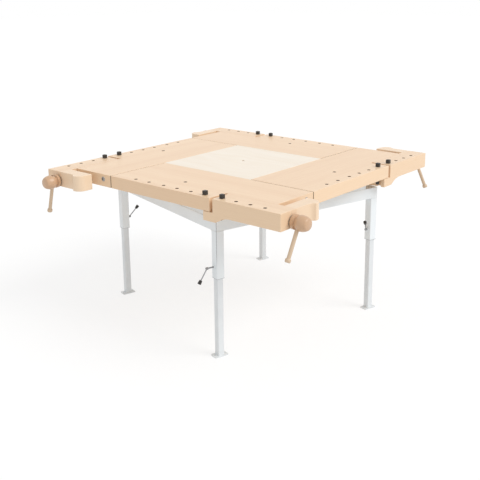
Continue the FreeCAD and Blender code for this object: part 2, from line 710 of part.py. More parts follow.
def make_head(side, angle, tilt):
    """The turned wooden head on the screw, with the hole for the tommy bar."""
    body = new_body(f"Head_{side}")
    base = f"({c.collar_gap} + {c.collar_thick})"
    profile = sketch_on(body, "XZ_Plane")
    add_outline(profile, (
        (base, c.screw_radius), (base, f"({c.head_collar} - {c.collar_ease})"),
        (f"({base} + {c.collar_ease})", c.head_collar), (c.collar_end, c.head_collar),
        (c.groove_start, c.head_neck), (c.groove_end, c.head_neck),
        (c.head_widest, c.head_radius), (c.nose_start, c.nose_radius),
        (c.head_length, c.nose_flat), (c.head_length, "0"),
        (c.spigot, "0"), (c.spigot, c.screw_radius),
    ), {5: (c.swell_arc, -1), 6: (c.barrel_arc, -1), 7: (c.nose_arc, -1)})
    revolve(body, profile, "X_Axis")
    hole = sketch_on(body, "XY_Plane", f"-{c.head_radius}")
    add_circle(hole, c.bar_place, "0", f"({c.bar_radius} + {c.bar_play})")
    pocket(body, hole, f"2 * {c.head_radius}", reverse=True)
    seat = sketch_on(body, "XY_Plane", c.bar_seat)
    add_circle(seat, c.bar_place, "0", f"({c.bar_stop} + {c.bar_play})")
    pocket(body, seat, c.head_radius, reverse=True)
    keep(body, f"vise_head_{side}", screw_axis(angle, tilt))


def make_bar(side, angle, tilt):
    """The tommy bar: a turned rod with a knob below and a sunk stop above."""
    body = new_body(f"Bar_{side}")
    low = f"({c.bar_low} + {c.knob_length})"
    profile = sketch_on(body, "XZ_Plane")
    add_outline(profile, (
        ("0", c.bar_top), (f"({c.bar_stop} - {c.stop_ease})", c.bar_top),
        (c.bar_stop, f"({c.bar_top} - {c.stop_ease})"), (c.bar_stop, c.bar_seat),
        (c.bar_radius, c.bar_seat), (c.bar_radius, f"-{c.bar_low}"),
        (f"({c.knob_radius} - {c.knob_bevel})", f"-{c.bar_low}"),
        (c.knob_radius, f"(-{c.bar_low} - {c.knob_ease})"),
        (c.knob_radius, f"({c.knob_round} - {low})"),
        (c.knob_flat, f"-{low}"), ("0", f"-{low}"),
    ), {8: (c.knob_arc, -1)})
    revolve(body, profile, "Z_Axis")
    seat = screw_axis(angle, tilt)
    shift = Placement(Vector(value(c.bar_place), 0, 0), Rotation())
    keep(body, f"tommy_bar_{side}", seat.multiply(shift))


def make_nuts():
    """The fixed nuts, each with a flange screwed to the wall of its board's notch."""
    nuts = []
    for side, angle in SIDES:
        wall = f"(-{NOTCH} - {c.flange_thick})"
        start = f"({OUTER} - {c.nut_place})"
        flange = box(f"{OUTER} - {c.flange_place}", wall, f"{c.top_height} - {c.flange_low}",
                     f"{c.flange_place} - {c.nut_place} + {c.nut_length}", c.flange_thick,
                     f"{c.flange_low} - {c.flange_top}")
        block = box(start, f"{wall} - {c.nut_depth}", f"{SCREW_Z} - {c.nut_height} / 2",
                    c.nut_length, c.nut_depth, c.nut_height)
        thread = cylinder("+X", f"{start} - 1", f"-{SCREW_Y}", SCREW_Z,
                          f"{c.screw_radius} + {c.run_fit}", f"{c.nut_length} + 2")
        holes = [cylinder("+Y", NUT_SCREW_X, f"{wall} - 1", f"{c.top_height} - {drop}",
                          f"{c.screw_core} + {c.run_fit}", f"{c.flange_thick} + 2")
                 for drop in NUT_SCREW_DROPS]
        nut = cut(fuse(flange, block), thread, *holes)
        nut.Placement = turned(angle)
        nuts.append(nut)
    keep(group(*nuts), "vise_nuts")


# ------------------------------------------------------------------ bench dogs

def make_dog(label, angle, place):
    """A dog that hangs in its hole by its square head."""
    body = new_body("Dog")
    shank = sketch_on(body, "XY_Plane", f"-{c.dog_shank}")
    add_circle(shank, "0", "0", f"({c.dog_radius} - {c.run_fit})")
    pad(body, shank, c.dog_shank)
    head = sketch_on(body, "XY_Plane")
    add_rectangle(head, f"-{c.dog_head} / 2", f"-{c.dog_head} / 2", c.dog_head, c.dog_head)
    pad(body, head, c.dog_rise)
    round_upright(body, c.dog_corner, value(c.dog_rise) / 2)
    seat = Placement(Vector(value(place), -value(DOG_Y), value(c.top_height)), Rotation())
    keep(body, label, turned(angle).multiply(seat))


# ------------------------------------------------------------------ frame and legs

def make_rail(side, angle):
    """A rectangular tube, mitred at both ends over the legs."""
    tubes = []
    for wall, extra in (("0", "0"), (c.rail_wall, "1")):
        tube = doc.addObject("Part::Wedge", "Mitred")
        outer = f"({RAIL_OUTER} - {wall} + {extra})"
        inner = f"({RAIL_OUTER} - {UPPER_SIZE} + {wall} + {extra})"
        bind(tube, {
            "Xmin": f"-{outer}", "Xmax": outer, "X2min": f"-{inner}", "X2max": inner,
            "Ymin": f"{wall} - {RAIL_OUTER}", "Ymax": f"{UPPER_SIZE} - {wall} - {RAIL_OUTER}",
            "Zmin": f"{RAIL_LOW} + {wall}", "Zmax": f"{RAIL_TOP} - {wall}",
            "Z2min": f"{RAIL_LOW} + {wall}", "Z2max": f"{RAIL_TOP} - {wall}",
        })
        tubes.append(tube)
    holes = [cylinder("+Z", place, f"-{c.leg_place}", f"{RAIL_LOW} - 1",
                      f"{c.coach_radius} + {c.screw_fit}", f"{c.rail_height} + 2")
             for place in COACH_PLACES]
    keep(cut(tubes[0], tubes[1], *holes), f"rail_{side}", FRAME.multiply(turned(angle)))


def make_bearers():
    """Wooden bearers that lie on the rails and carry the boards."""
    bearers = []
    for side, angle in SIDES:
        bearer = box(f"-{c.bearer_half} - {c.bearer_shift}",
                     f"-{c.leg_place} - {c.bearer_width} / 2", RAIL_TOP,
                     f"2 * {c.bearer_half}", c.bearer_width, c.bearer_height)
        holes = [cylinder("+Z", place, f"-{c.leg_place}", f"{RAIL_TOP} - 1",
                          f"{c.coach_radius} + {c.screw_fit}", f"{c.bearer_height} + 2")
                 for place in COACH_PLACES]
        drilled = cut(bearer, *holes)
        drilled.Placement = FRAME.multiply(turned(angle))
        bearers.append(drilled)
    keep(group(*bearers), "rail_bearers")


def leg_place(right, away, facing):
    """Place of a piece drawn with its leg's axis on Z and its clamp screw towards -Y."""
    reach = value(c.leg_place)
    foot = Placement(Vector(right * reach, away * reach, 0),
                     Rotation(Vector(0, 0, 1), facing))
    return FRAME.multiply(foot)


def square(sketch, size):
    add_rectangle(sketch, f"-({size}) / 2", f"-({size}) / 2", size, size)


def make_upper_leg(side, right, away, facing):
    """The fixed outer tube with the welded nut of its clamp screw."""
    body = new_body(f"UpperLeg_{side}")
    outline = sketch_on(body, "XY_Plane", UPPER_END)
    square(outline, UPPER_SIZE)
    pad(body, outline, f"{RAIL_LOW} - {UPPER_END}")
    round_upright(body, c.tube_round, value(UPPER_SIZE))
    hollow = sketch_on(body, "XY_Plane", RAIL_LOW)
    square(hollow, UPPER_HOLLOW)
    pocket(body, hollow, f"{RAIL_LOW} - {UPPER_END}")
    boss = sketch_on(body, "XZ_Plane", f"{UPPER_SIZE} / 2")
    add_circle(boss, "0", CLAMP_HEIGHT, c.boss_radius)
    pad(body, boss, c.boss_length)
    bore = sketch_on(body, "XZ_Plane", f"{UPPER_SIZE} / 2 + {c.boss_length}")
    add_circle(bore, "0", CLAMP_HEIGHT, f"{c.stud_radius} + {c.run_fit}")
    pocket(body, bore, f"{c.boss_length} + {c.upper_wall} + 1")
    keep(body, f"leg_upper_{side}", leg_place(right, away, facing))


def make_lower_leg(side, right, away, facing):
    """The sliding inner tube, welded to its foot plate."""
    body = new_body(f"LowerLeg_{side}")
    plate = sketch_on(body, "XY_Plane")
    add_rectangle(plate, f"-{c.foot_wide} / 2", f"-{c.foot_long} / 2", c.foot_wide, c.foot_long)
    pad(body, plate, c.foot_thick)
    round_upright(body, c.foot_round, value(c.foot_thick) / 2)
    tube = sketch_on(body, "XY_Plane", c.foot_thick)
    square(tube, c.lower_size)
    pad(body, tube, LOWER_LENGTH)
    round_upright(body, c.tube_round, value(UPPER_SIZE))
    hollow = sketch_on(body, "XY_Plane", f"{c.foot_thick} + {LOWER_LENGTH}")
    square(hollow, f"({c.lower_size} - 2 * {c.lower_wall})")
    pocket(body, hollow, LOWER_LENGTH)
    holes = sketch_on(body, "XY_Plane", c.foot_thick)
    for way in (-1, 1):
        add_circle(holes, "0", f"{way} * {c.foot_pitch} / 2", c.foot_hole)
    pocket(body, holes, c.foot_thick)
    keep(body, f"leg_lower_{side}", leg_place(right, away, facing))


def make_sleeves():
    """Plastic sleeves that guide the lower legs in the upper ones."""
    sleeves = []
    for side, right, away, facing, lever, longer in LEGS:
        lining = box(f"-{UPPER_HOLLOW} / 2", f"-{UPPER_HOLLOW} / 2", UPPER_END,
                     UPPER_HOLLOW, UPPER_HOLLOW, c.sleeve_length)
        lip = box(f"-{UPPER_SIZE} / 2", f"-{UPPER_SIZE} / 2",
                  f"{UPPER_END} - {c.sleeve_lip}", UPPER_SIZE, UPPER_SIZE, c.sleeve_lip)
        hole = box(f"-{SLEEVE_BORE} / 2", f"-{SLEEVE_BORE} / 2",
                   f"{UPPER_END} - {c.sleeve_lip} - 1", SLEEVE_BORE, SLEEVE_BORE,
                   f"{c.sleeve_length} + {c.sleeve_lip} + 2")
        sleeve = cut(fuse(lining, lip), hole)
        sleeve.Placement = leg_place(right, away, facing)
        sleeves.append(sleeve)
    keep(group(*sleeves), "leg_sleeves")


def make_lever(side, right, away, facing, lever, longer):
    """The clamp screw with its lever, drawn with the screw on -Y and the rod upright."""
    tip = f"({c.lower_size} / 2 + {c.run_fit} * 2)"
    seat = f"({UPPER_SIZE} / 2 + {c.boss_length} + {c.hub_clear} + {longer})"
    stud = cylinder("-Y", "0", f"-{tip}", "0", c.stud_radius, f"{seat} - {tip}")
    hub = cylinder("-Y", "0", f"-{seat}", "0", c.hub_radius, c.hub_length)
    lean = Rotation(Vector(1, 0, 0), value(c.arm_lean))
    root = Vector(0, -value(f"{seat} + {c.hub_length} / 2"), 0)
    rod = bind(doc.addObject("Part::Cylinder", "Rod"),
               {"Radius": c.arm_radius, "Height": c.arm_length})
    grip = bind(doc.addObject("Part::Cone", "Grip"),
                {"Radius1": c.grip_neck, "Radius2": c.grip_radius, "Height": c.grip_length})
    rod.Placement = Placement(root, lean)
    grip_start = Vector(0, 0, value(f"{c.arm_length} - {c.grip_cover}"))
    grip.Placement = Placement(root + lean.multVec(grip_start), lean)
    turn = Placement(Vector(0, 0, value(CLAMP_HEIGHT)), Rotation(Vector(0, 1, 0), lever))
    keep(fuse(stud, hub, rod, grip), f"clamp_lever_{side}",
         leg_place(right, away, facing).multiply(turn))


# ------------------------------------------------------------------ fasteners

def make_tie_rods():
    """Rods through the boards that pull each against its neighbour."""
    rods = []
    for side, angle in SIDES:
        height = f"{c.top_height} - {c.tie_drop}"
        start = f"(-{c.panel_half} - {c.tie_grip} + 1)"
        rod = cylinder("+X", start, f"-{TIE_Y}", height, c.tie_radius,
                       f"{OUTER} - {start}")
        head = cylinder("+X", OUTER, f"-{TIE_Y}", height, c.tie_head, c.tie_dome)
        bolt = fuse(rod, head)
        bolt.Placement = turned(angle)
        rods.append(bolt)
    keep(group(*rods), "tie_rods")


def make_coach_screws():
    """Screws from below the rails, through the bearers, into the boards."""
    screws = []
    for side, angle in SIDES:
        for place in COACH_PLACES:
            shank = cylinder("+Z", place, f"-{c.leg_place}", RAIL_LOW, c.coach_radius,
                             f"{BOARD_LOW} + {c.coach_grip} - 1 - {RAIL_LOW}")
            head = cylinder("+Z", place, f"-{c.leg_place}", f"{RAIL_LOW} - {c.coach_cap}",
                            c.coach_head, c.coach_cap)
            screw = fuse(shank, head)
            screw.Placement = FRAME.multiply(turned(angle))
            screws.append(screw)
    keep(group(*screws), "coach_screws")


def make_small_screws():
    """Screws of the ledgers, driven outwards, and of the vise nuts, driven inwards."""
    screws = []
    for side, angle in SIDES:
        pairs = []
        for place in LEDGER_SCREWS:
            inner = f"({c.ledger_width} - {c.panel_half})"
            pairs.append(("-Y", "+Y", place, inner, LEDGER_Z, c.ledger_width))
        for drop in NUT_SCREW_DROPS:
            outer = f"(-{NOTCH} - {c.flange_thick})"
            pairs.append(("+Y", "-Y", NUT_SCREW_X, outer, f"{c.top_height} - {drop}",
                          c.flange_thick))
        for inward, outward, x, y, z, through in pairs:
            shank = cylinder(inward, x, y, z, c.screw_core, f"{through} + {c.screw_grip} - 1")
            head = cylinder(outward, x, y, z, c.screw_head, c.screw_cap)
            screw = fuse(shank, head)
            screw.Placement = turned(angle)
            screws.append(screw)
    keep(group(*screws), "wood_screws")


# ------------------------------------------------------------------ assembly

make_panel()
make_ledgers()
make_nuts()
make_bearers()
make_sleeves()
make_tie_rods()
make_coach_screws()
make_small_screws()
for side, angle in SIDES:
    tilt = -BAR_TILT[side]
    make_board(side, angle)
    make_arm(side, angle)
    make_block(side, angle)
    make_rods(side, angle)
    make_screw(side, angle, tilt)
    make_head(side, angle, tilt)
    make_bar(side, angle, tilt)
    make_dog(f"board_dog_{side}", angle, f"{MOUTH} - {c.board_dog}")
    make_dog(f"jaw_dog_{side}", angle, f"{JAW_FACE} + {c.jaw_dog}")
    make_rail(side, angle)
for side, right, away, facing, lever, longer in LEGS:
    make_upper_leg(side, right, away, facing)
    make_lower_leg(side, right, away, facing)
    make_lever(side, right, away, facing, lever, longer)

doc.recompute()

# ------------------------------------------------------------------ tests and files

for thing in doc.Objects:
    if {"Invalid", "Error"} & set(thing.State):
        raise RuntimeError(f"{thing.Label} failed: {thing.State}")
for less, base in cuts:
    if less.Shape.Volume > base.Shape.Volume - 1.0:
        raise RuntimeError(f"{less.Label} cuts nothing")
for part in kept:
    if part.Shape.isNull() or not part.Shape.isValid():
        raise RuntimeError(f"{part.Label} is not a valid shape")

os.makedirs("parts", exist_ok=True)
for part in kept:
    part.Shape.exportStep(f"parts/{part.Label}.step")
    print(f"{part.Label:28s} {part.Shape.Volume / 1000:10.1f} cm3  {len(part.Shape.Solids)} solids")
print(len(kept), "nodes")
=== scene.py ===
import json
import math

import bmesh
import bpy
import numpy as np
from mathutils import Matrix, Vector

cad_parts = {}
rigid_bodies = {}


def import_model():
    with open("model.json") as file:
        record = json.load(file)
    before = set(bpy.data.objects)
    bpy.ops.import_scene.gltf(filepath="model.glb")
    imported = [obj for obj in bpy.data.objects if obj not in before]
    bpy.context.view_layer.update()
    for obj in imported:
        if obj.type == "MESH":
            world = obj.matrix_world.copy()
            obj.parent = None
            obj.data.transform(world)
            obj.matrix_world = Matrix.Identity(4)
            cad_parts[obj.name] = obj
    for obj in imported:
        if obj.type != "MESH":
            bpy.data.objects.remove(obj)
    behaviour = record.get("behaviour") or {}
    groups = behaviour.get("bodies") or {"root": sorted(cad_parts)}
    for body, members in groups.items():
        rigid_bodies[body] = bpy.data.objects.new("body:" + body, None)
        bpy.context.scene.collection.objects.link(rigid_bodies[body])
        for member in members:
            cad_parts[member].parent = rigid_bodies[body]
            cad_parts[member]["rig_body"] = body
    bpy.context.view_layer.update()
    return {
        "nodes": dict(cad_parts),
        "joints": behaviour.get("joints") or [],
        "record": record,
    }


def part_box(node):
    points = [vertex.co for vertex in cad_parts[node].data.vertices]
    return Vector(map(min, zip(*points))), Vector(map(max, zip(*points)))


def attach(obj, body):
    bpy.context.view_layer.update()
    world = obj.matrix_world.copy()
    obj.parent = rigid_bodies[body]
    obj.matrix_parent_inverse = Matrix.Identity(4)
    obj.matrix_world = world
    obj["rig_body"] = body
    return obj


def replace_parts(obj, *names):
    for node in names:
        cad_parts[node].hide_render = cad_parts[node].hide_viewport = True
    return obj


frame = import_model()

# ---------------------------------------------------------------- boards of the top
# Four boards of edge-glued beech staves, 68 mm thick, laid like a pinwheel. They are planed,
# their edges broken by hand, and oiled. The grain of each runs along its length.

SIDES = ("front", "right", "back", "left")
UP = np.array((0.0, 0.0, 1.0))


class Value:
    """One output of a shader node. Arithmetic on it adds Math nodes to the same finish."""

    def __init__(self, finish, socket):
        self.finish = finish
        self.socket = socket

    def maths(self, operation, *others):
        sockets = dict(enumerate((self, *others)))
        return self.finish.node("ShaderNodeMath", {"operation": operation}, sockets)

    def __add__(self, other):
        return self.maths("ADD", other)

    def __sub__(self, other):
        return self.maths("SUBTRACT", other)

    def __rsub__(self, other):
        return (self * -1.0) + other

    def __mul__(self, other):
        return self.maths("MULTIPLY", other)

    __radd__ = __add__
    __rmul__ = __mul__


class Finish:
    """A finish made of shader nodes. The keywords are plain values of the main shader."""

    def __init__(self, name, **plain):
        self.material = bpy.data.materials.new(name)
        self.material.use_nodes = True
        self.tree = self.material.node_tree
        self.shader = self.tree.nodes["Principled BSDF"]
        for socket, value in plain.items():
            self.shader.inputs[socket.replace("_", " ").title()].default_value = value

    def node(self, kind, settings=None, sockets=None, output=0):
        """Any node: its settings first, then values or links for its sockets."""
        made = self.tree.nodes.new(kind)
        for name, setting in (settings or {}).items():
            setattr(made, name, setting)
        for name, value in (sockets or {}).items():
            self.feed(made.inputs[name], value)
        return Value(self, made.outputs[output])

    def feed(self, socket, value):
        if isinstance(value, Value):
            self.tree.links.new(value.socket, socket)
        else:
            socket.default_value = value

    def set(self, socket, value):
        self.feed(self.shader.inputs[socket], value)

    def place(self):
        """Where a point lies, in metres."""
        return self.node("ShaderNodeTexCoord", None, None, "Object")

    def facing(self):
        """Which way the surface looks."""
        return self.node("ShaderNodeTexCoord", None, None, "Normal")

    def parts(self, vector):
        """The three numbers of a vector."""
        split = self.node("ShaderNodeSeparateXYZ", None, {0: vector}).socket.node
        return [Value(self, socket) for socket in split.outputs]

    def vector(self, x, y, z):
        return self.node("ShaderNodeCombineXYZ", None, {0: x, 1: y, 2: z})

    def attribute(self, name):
        return self.node("ShaderNodeAttribute", {"attribute_name": name}, None, "Vector")

    def noise(self, vector, scale=1.0, detail=3.0):
        """Smooth noise about 0.5."""
        sockets = {"Vector": vector, "Scale": scale, "Detail": detail, "Roughness": 0.55}
        return self.node("ShaderNodeTexNoise", None, sockets)

    def random(self, number):
        """A steady random number for each whole number."""
        return self.node("ShaderNodeTexWhiteNoise", {"noise_dimensions": "1D"}, {"W": number})

    def step(self, value, low, high):
        """0 below low, 1 above high and smooth in between."""
        settings = {"interpolation_type": "SMOOTHSTEP"}
        sockets = {"Value": value, "From Min": low, "From Max": high}
        return self.node("ShaderNodeMapRange", settings, sockets)

    def mix(self, share, first, second):
        """From the first colour at 0 to the second at 1."""
        sockets = {0: share, 6: first, 7: second}
        return self.node("ShaderNodeMix", {"data_type": "RGBA"}, sockets, 2)

    def bump(self, height, strength, distance):
        """Relief as deep as distance where the height changes by one."""
        sockets = {"Strength": strength, "Distance": distance, "Height": height}
        self.set("Normal", self.node("ShaderNodeBump", None, sockets))


PITH_HEIGHT = 0.70                  # above the floor, for the highest pith
PITH_DROP = 0.09                    # from the highest pith to the lowest
PITH_SPAN = 1.6                     # across the grain, over a stave's width
RING_RATE = 1500.0                  # radians to a metre, so a ring to 4.2 mm
RING_WANDER = 0.018                 # of a ring from its circle
WANDER = (1.3, 5.0)                 # each pattern's rate to a metre, along and across the grain
FIBRE = (9.0, 420.0)
RAYS = (170.0, 900.0)
PORES = (60.0, 900.0)
FLECK_EDGE = (0.12, 0.30)           # a ray's dark middle and its edge
END_FACE = (0.75, 0.85)             # how straight a face looks along the grain to show its end
JOINT_MIDDLE = 0.3175               # of the gaps between boards, from the bench's middle
JOINT_WALL = (0.0028, 0.0030)       # a face nearer to a gap's middle than these is its wall
JOINT_START = (0.3190, 0.3200)      # a gap begins between these, from the bench's middle
# Painted shade with some dust, for the walls of the gaps between the boards.
JOINT_DUST_AND_SHADE = (0.10, 0.065, 0.040, 1.0)


def beech(name, along, pale, dark, stave, roughness=0.45, joints=False):
    """Planed beech with its grain along one axis, 0 for X and 1 for Y, or along Z of the
    piece's own `grain` attribute where along is None.

    Each stave has a tone of its own. Growth rings are circles round a pith that lies below
    the stave, so they show as long lines on its faces and as arcs on its ends. Fibres are
    noise drawn out along the grain, and the short dark flecks are the rays. Dust and painted
    shade darken the walls of the joints between the boards, where shade falls in the gaps.
    """
    finish = Finish(name, roughness=roughness, coat_weight=0.40, coat_roughness=0.30)
    if along is None:
        across, up, length = finish.parts(finish.attribute("grain"))
        sockets = {0: finish.facing(), 1: finish.attribute("grain_axis")}
        settings = {"operation": "DOT_PRODUCT"}
        ends = finish.node("ShaderNodeVectorMath", settings, sockets, 1).maths("ABSOLUTE")
    else:
        x, y, up = finish.parts(finish.place())
        across, length = ((y, x), (x, y))[along]
        ends = finish.parts(finish.facing())[along].maths("ABSOLUTE")
    number = (across * (1.0 / stave)).maths("FLOOR")
    tone = finish.random(number)
    other = finish.random(number + 0.5)
    pith_side = across - (number + 0.5 + (other - 0.5) * PITH_SPAN) * stave
    pith_depth = up - PITH_HEIGHT + tone * PITH_DROP
    wander = finish.noise(
        finish.vector(length * WANDER[0] + tone * 40.0, across * WANDER[1], up * WANDER[1]))
    radius = (pith_side * pith_side + pith_depth * pith_depth).maths("SQRT")
    radius = radius + wander * RING_WANDER
    rings = (radius * RING_RATE).maths("SINE") * 0.5 + 0.5
    fibre = finish.noise(
        finish.vector(length * FIBRE[0] + tone * 30.0, across * FIBRE[1], up * FIBRE[1]),
        detail=4.0)
    rays = finish.node("ShaderNodeTexVoronoi", {"feature": "F1"}, {
        "Vector": finish.vector(length * RAYS[0], across * RAYS[1], up * RAYS[1]), "Scale": 1.0})
    fleck = 1.0 - finish.step(rays, *FLECK_EDGE)
    share = tone * 0.34 + fibre * 0.55 + rings * 0.14 - 0.30 + fleck * 0.22
    face = finish.step(ends, *END_FACE)
    pores = finish.noise(
        finish.vector(across * PORES[1], up * PORES[1], length * PORES[0]), detail=5.0)
    brown = [channel * shade for channel, shade in zip(dark, (0.92, 0.88, 0.84))] + [1.0]
    side_grain = finish.mix(share.maths("MAXIMUM", 0.0), pale, dark)
    end_grain = finish.mix(rings * 0.14 + pores * 0.22, pale, brown)
    colour = finish.mix(face, side_grain, end_grain)
    # Painted shade with some dust: the walls of the gaps between the boards are darkened where shade
    # falls in the gap.
    if joints:
        x, y, up = finish.parts(finish.place())
        wide, deep, level = (part.maths("ABSOLUTE") for part in finish.parts(finish.facing()))
        plane = x.maths("ABSOLUTE") * wide + y.maths("ABSOLUTE") * deep
        beside = x.maths("ABSOLUTE") * deep + y.maths("ABSOLUTE") * wide
        gap = 1.0 - finish.step((plane - JOINT_MIDDLE).maths("ABSOLUTE"), *JOINT_WALL)
        gap = gap * finish.step(beside, *JOINT_START) * (1.0 - finish.step(level, 0.3, 0.6))
        colour = finish.mix(gap, colour, JOINT_DUST_AND_SHADE)
    finish.set("Base Color", colour)
    finish.set("Roughness", fibre * 0.16 + (roughness - 0.08))
    finish.bump(fibre * 0.5 - fleck * 0.5 + face * pores, 0.25, 0.0002)
    return finish.material


BEECH_PALE = (0.900, 0.665, 0.445, 1.0)
BEECH_DARK = (0.780, 0.510, 0.310, 1.0)
STAVE = 0.0571                      # seven staves to a board
board_beech = [
    beech("board_beech_along_x", 0, BEECH_PALE, BEECH_DARK, STAVE, joints=True),
    beech("board_beech_along_y", 1, BEECH_PALE, BEECH_DARK, STAVE, joints=True),
]


def show(mesh, material, body, sharp=30.0):
    """A finished mesh as a piece of one body, round faces shaded round. An edge stays sharp
    where its faces meet at more than sharp degrees."""
    mesh.materials.clear()
    mesh.materials.append(material)
    mesh.shade_smooth()
    mesh.set_sharp_from_angle(angle=math.radians(sharp))
    piece = bpy.data.objects.new(mesh.name, mesh)
    bpy.context.scene.collection.objects.link(piece)
    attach(piece, body)
    return piece


def dress(node, material, sharp=30.0):
    """A copy of a solid with its doubled points merged."""
    solid = frame["nodes"][node]
    mesh = solid.data.copy()
    mesh.name = f"{node}_dressed"
    if "custom_normal" in mesh.attributes:
        mesh.attributes.remove(mesh.attributes["custom_normal"])
    shell = bmesh.new()
    shell.from_mesh(mesh)
    bmesh.ops.remove_doubles(shell, verts=shell.verts, dist=1e-6)
    bmesh.ops.dissolve_degenerate(shell, edges=shell.edges, dist=1e-6)
    shell.to_mesh(mesh)
    shell.free()
    piece = show(mesh, material, solid["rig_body"], sharp)
    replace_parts(piece, node)
    return piece


def points_of(mesh, kind="vertices", field="co"):
    """One vector for each point, or for each face with kind polygons."""
    numbers = np.empty(len(getattr(mesh, kind)) * 3, dtype=np.float32)
    getattr(mesh, kind).foreach_get(field, numbers)
    return numbers.reshape(-1, 3).astype(float)


def line_bores(piece, places, axis, reach, material):
    """Give the walls of bores a material of their own: the faces that lie along the axis and
    whose middles are within reach of one of the places, measured square to the axis."""
    axis = np.asarray(axis, float)
    away = points_of(piece.data, "polygons", "center")[:, None, :] - np.asarray(places, float)
    away = away - (away @ axis)[..., None] * axis
    near = np.linalg.norm(away, axis=2).min(axis=1) < reach
    along = np.abs(points_of(piece.data, "polygons", "normal") @ axis) < 0.3
    piece.data.materials.append(material)
    piece.data.polygons.foreach_set("material_index", (near & along).astype(np.int32))


# Painted shade with some dirt: hole walls are coloured darker than dirty beech, for the shade inside
# the holes.
HOLE_DARK_DIRT_AND_SHADE = (0.09, 0.050, 0.028, 1.0)
HOLE_PALE_DIRT_AND_SHADE = (0.22, 0.135, 0.080, 1.0)
HOLE_REACH = 0.0105                 # just past a hole's wall, 9.5 mm from its axis


def bore_dirt_and_shade(name):
    """The wall of a drilled hole, dark with dirt and oil and with painted shade of the deep hole."""
    finish = Finish(name, roughness=0.75)
    x, y, z = finish.parts(finish.place())
    scuffs = finish.noise(finish.vector(x * 500.0, y * 500.0, z * 90.0), detail=4.0)
    finish.set("Base Color", finish.mix(scuffs, HOLE_DARK_DIRT_AND_SHADE, HOLE_PALE_DIRT_AND_SHADE))
    finish.bump(scuffs, 0.4, 0.0002)
    return finish.material


DOG_HOLES = [mount["pos_m"] for mount in frame["record"]["mounts"]
             if mount["name"].startswith(("board_hole", "jaw_hole"))]
DOG_HOLES += [np.mean(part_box(f"{name}_dog_{side}"), axis=0)
              for name in ("board", "jaw") for side in SIDES]
# The dog hole walls get dirt and painted shade.
hole_walls = bore_dirt_and_shade("dog_hole_walls")
for number, side in enumerate(SIDES):
    board = dress(f"board_{side}", board_beech[number % 2])
    line_bores(board, DOG_HOLES, UP, HOLE_REACH, hole_walls)

# ---------------------------------------------------------------- centre panel
# A square of birch plywood that lies loose on the ledgers, sanded and oiled. A finger goes
# into the hole in the middle to lift it out.

BIRCH_PALE = (0.945, 0.872, 0.770, 1.0)
BIRCH_DARK = (0.880, 0.770, 0.630, 1.0)
PLY_DARK = (0.62, 0.45, 0.28, 1.0)
PLY = 0.0028                        # two plies


def birch_plywood():
    """Wide soft figure of rotary-cut veneer on the faces and thin bands of plies on the edges."""
    finish = Finish("panel_birch_plywood", roughness=0.5, coat_weight=0.06, coat_roughness=0.4)
    x, y, z = finish.parts(finish.place())
    upright = finish.parts(finish.facing())[2].maths("ABSOLUTE")
    wander = finish.noise(finish.vector(x * 1.5, y * 4.0, 0.0), detail=2.0)
    figure = finish.noise(finish.vector(x * 1.8, y * 17.0 + wander * 5.0, 2.0), detail=4.0)
    fibre = finish.noise(finish.vector(x * 16.0, y * 520.0, 5.0))
    bands = finish.step((z * (2.0 * math.pi / PLY)).maths("SINE"), -0.3, 0.3)
    surface = finish.mix(figure * 1.2 + fibre * 0.5 - 0.45, BIRCH_PALE, BIRCH_DARK)
    edges = finish.mix(bands, BIRCH_DARK, PLY_DARK)
    finish.set("Base Color", finish.mix(finish.step(upright, 0.4, 0.6), edges, surface))
    finish.bump(fibre, 0.2, 0.00015)
    return finish.material


dress("centre_panel", birch_plywood())

# ---------------------------------------------------------------- ledgers
# Sawn strips that nobody sees from above, screwed to the boards' inner edges. They carry the
# panel.

SAWN_PALE = (0.720, 0.540, 0.350, 1.0)
SAWN_DARK = (0.520, 0.360, 0.210, 1.0)
SAWN_STAVE = 0.09
APART = 2.0                         # puts two of the strips in other staves than the rest


def set_grain(piece, places, axes):
    """Store on each point where it lies across, above and along the grain, and its axis."""
    for name, numbers in (("grain", places), ("grain_axis", axes)):
        layer = piece.data.attributes.new(name, "FLOAT_VECTOR", "POINT")
        layer.data.foreach_set("vector", numbers.astype(np.float32).ravel())


def frame_grain(piece, x_axis, y_axis):
    """Grain for four strips laid round a square: along X where they lie in front or behind."""
    points = points_of(piece.data)
    x = points @ x_axis
    y = points @ y_axis
    lengthwise = np.abs(y) > np.abs(x)
    across = np.where(lengthwise, y, x + APART)
    length = np.where(lengthwise, x, y)
    axes = np.where(lengthwise[:, None], x_axis, y_axis)
    set_grain(piece, np.stack([across, points[:, 2], length], axis=1), axes)


sawn_wood = beech("sawn_wood", None, SAWN_PALE, SAWN_DARK, SAWN_STAVE, roughness=0.7)
frame_grain(dress("panel_ledgers", sawn_wood),
            np.array((1.0, 0.0, 0.0)), np.array((0.0, 1.0, 0.0)))

# ---------------------------------------------------------------- vise jaws
# Each jaw is an arm of two glued beech staves, with a row of dog holes, and a cross block
# tenoned into its outer end. The grain of the block runs across that of the arm.

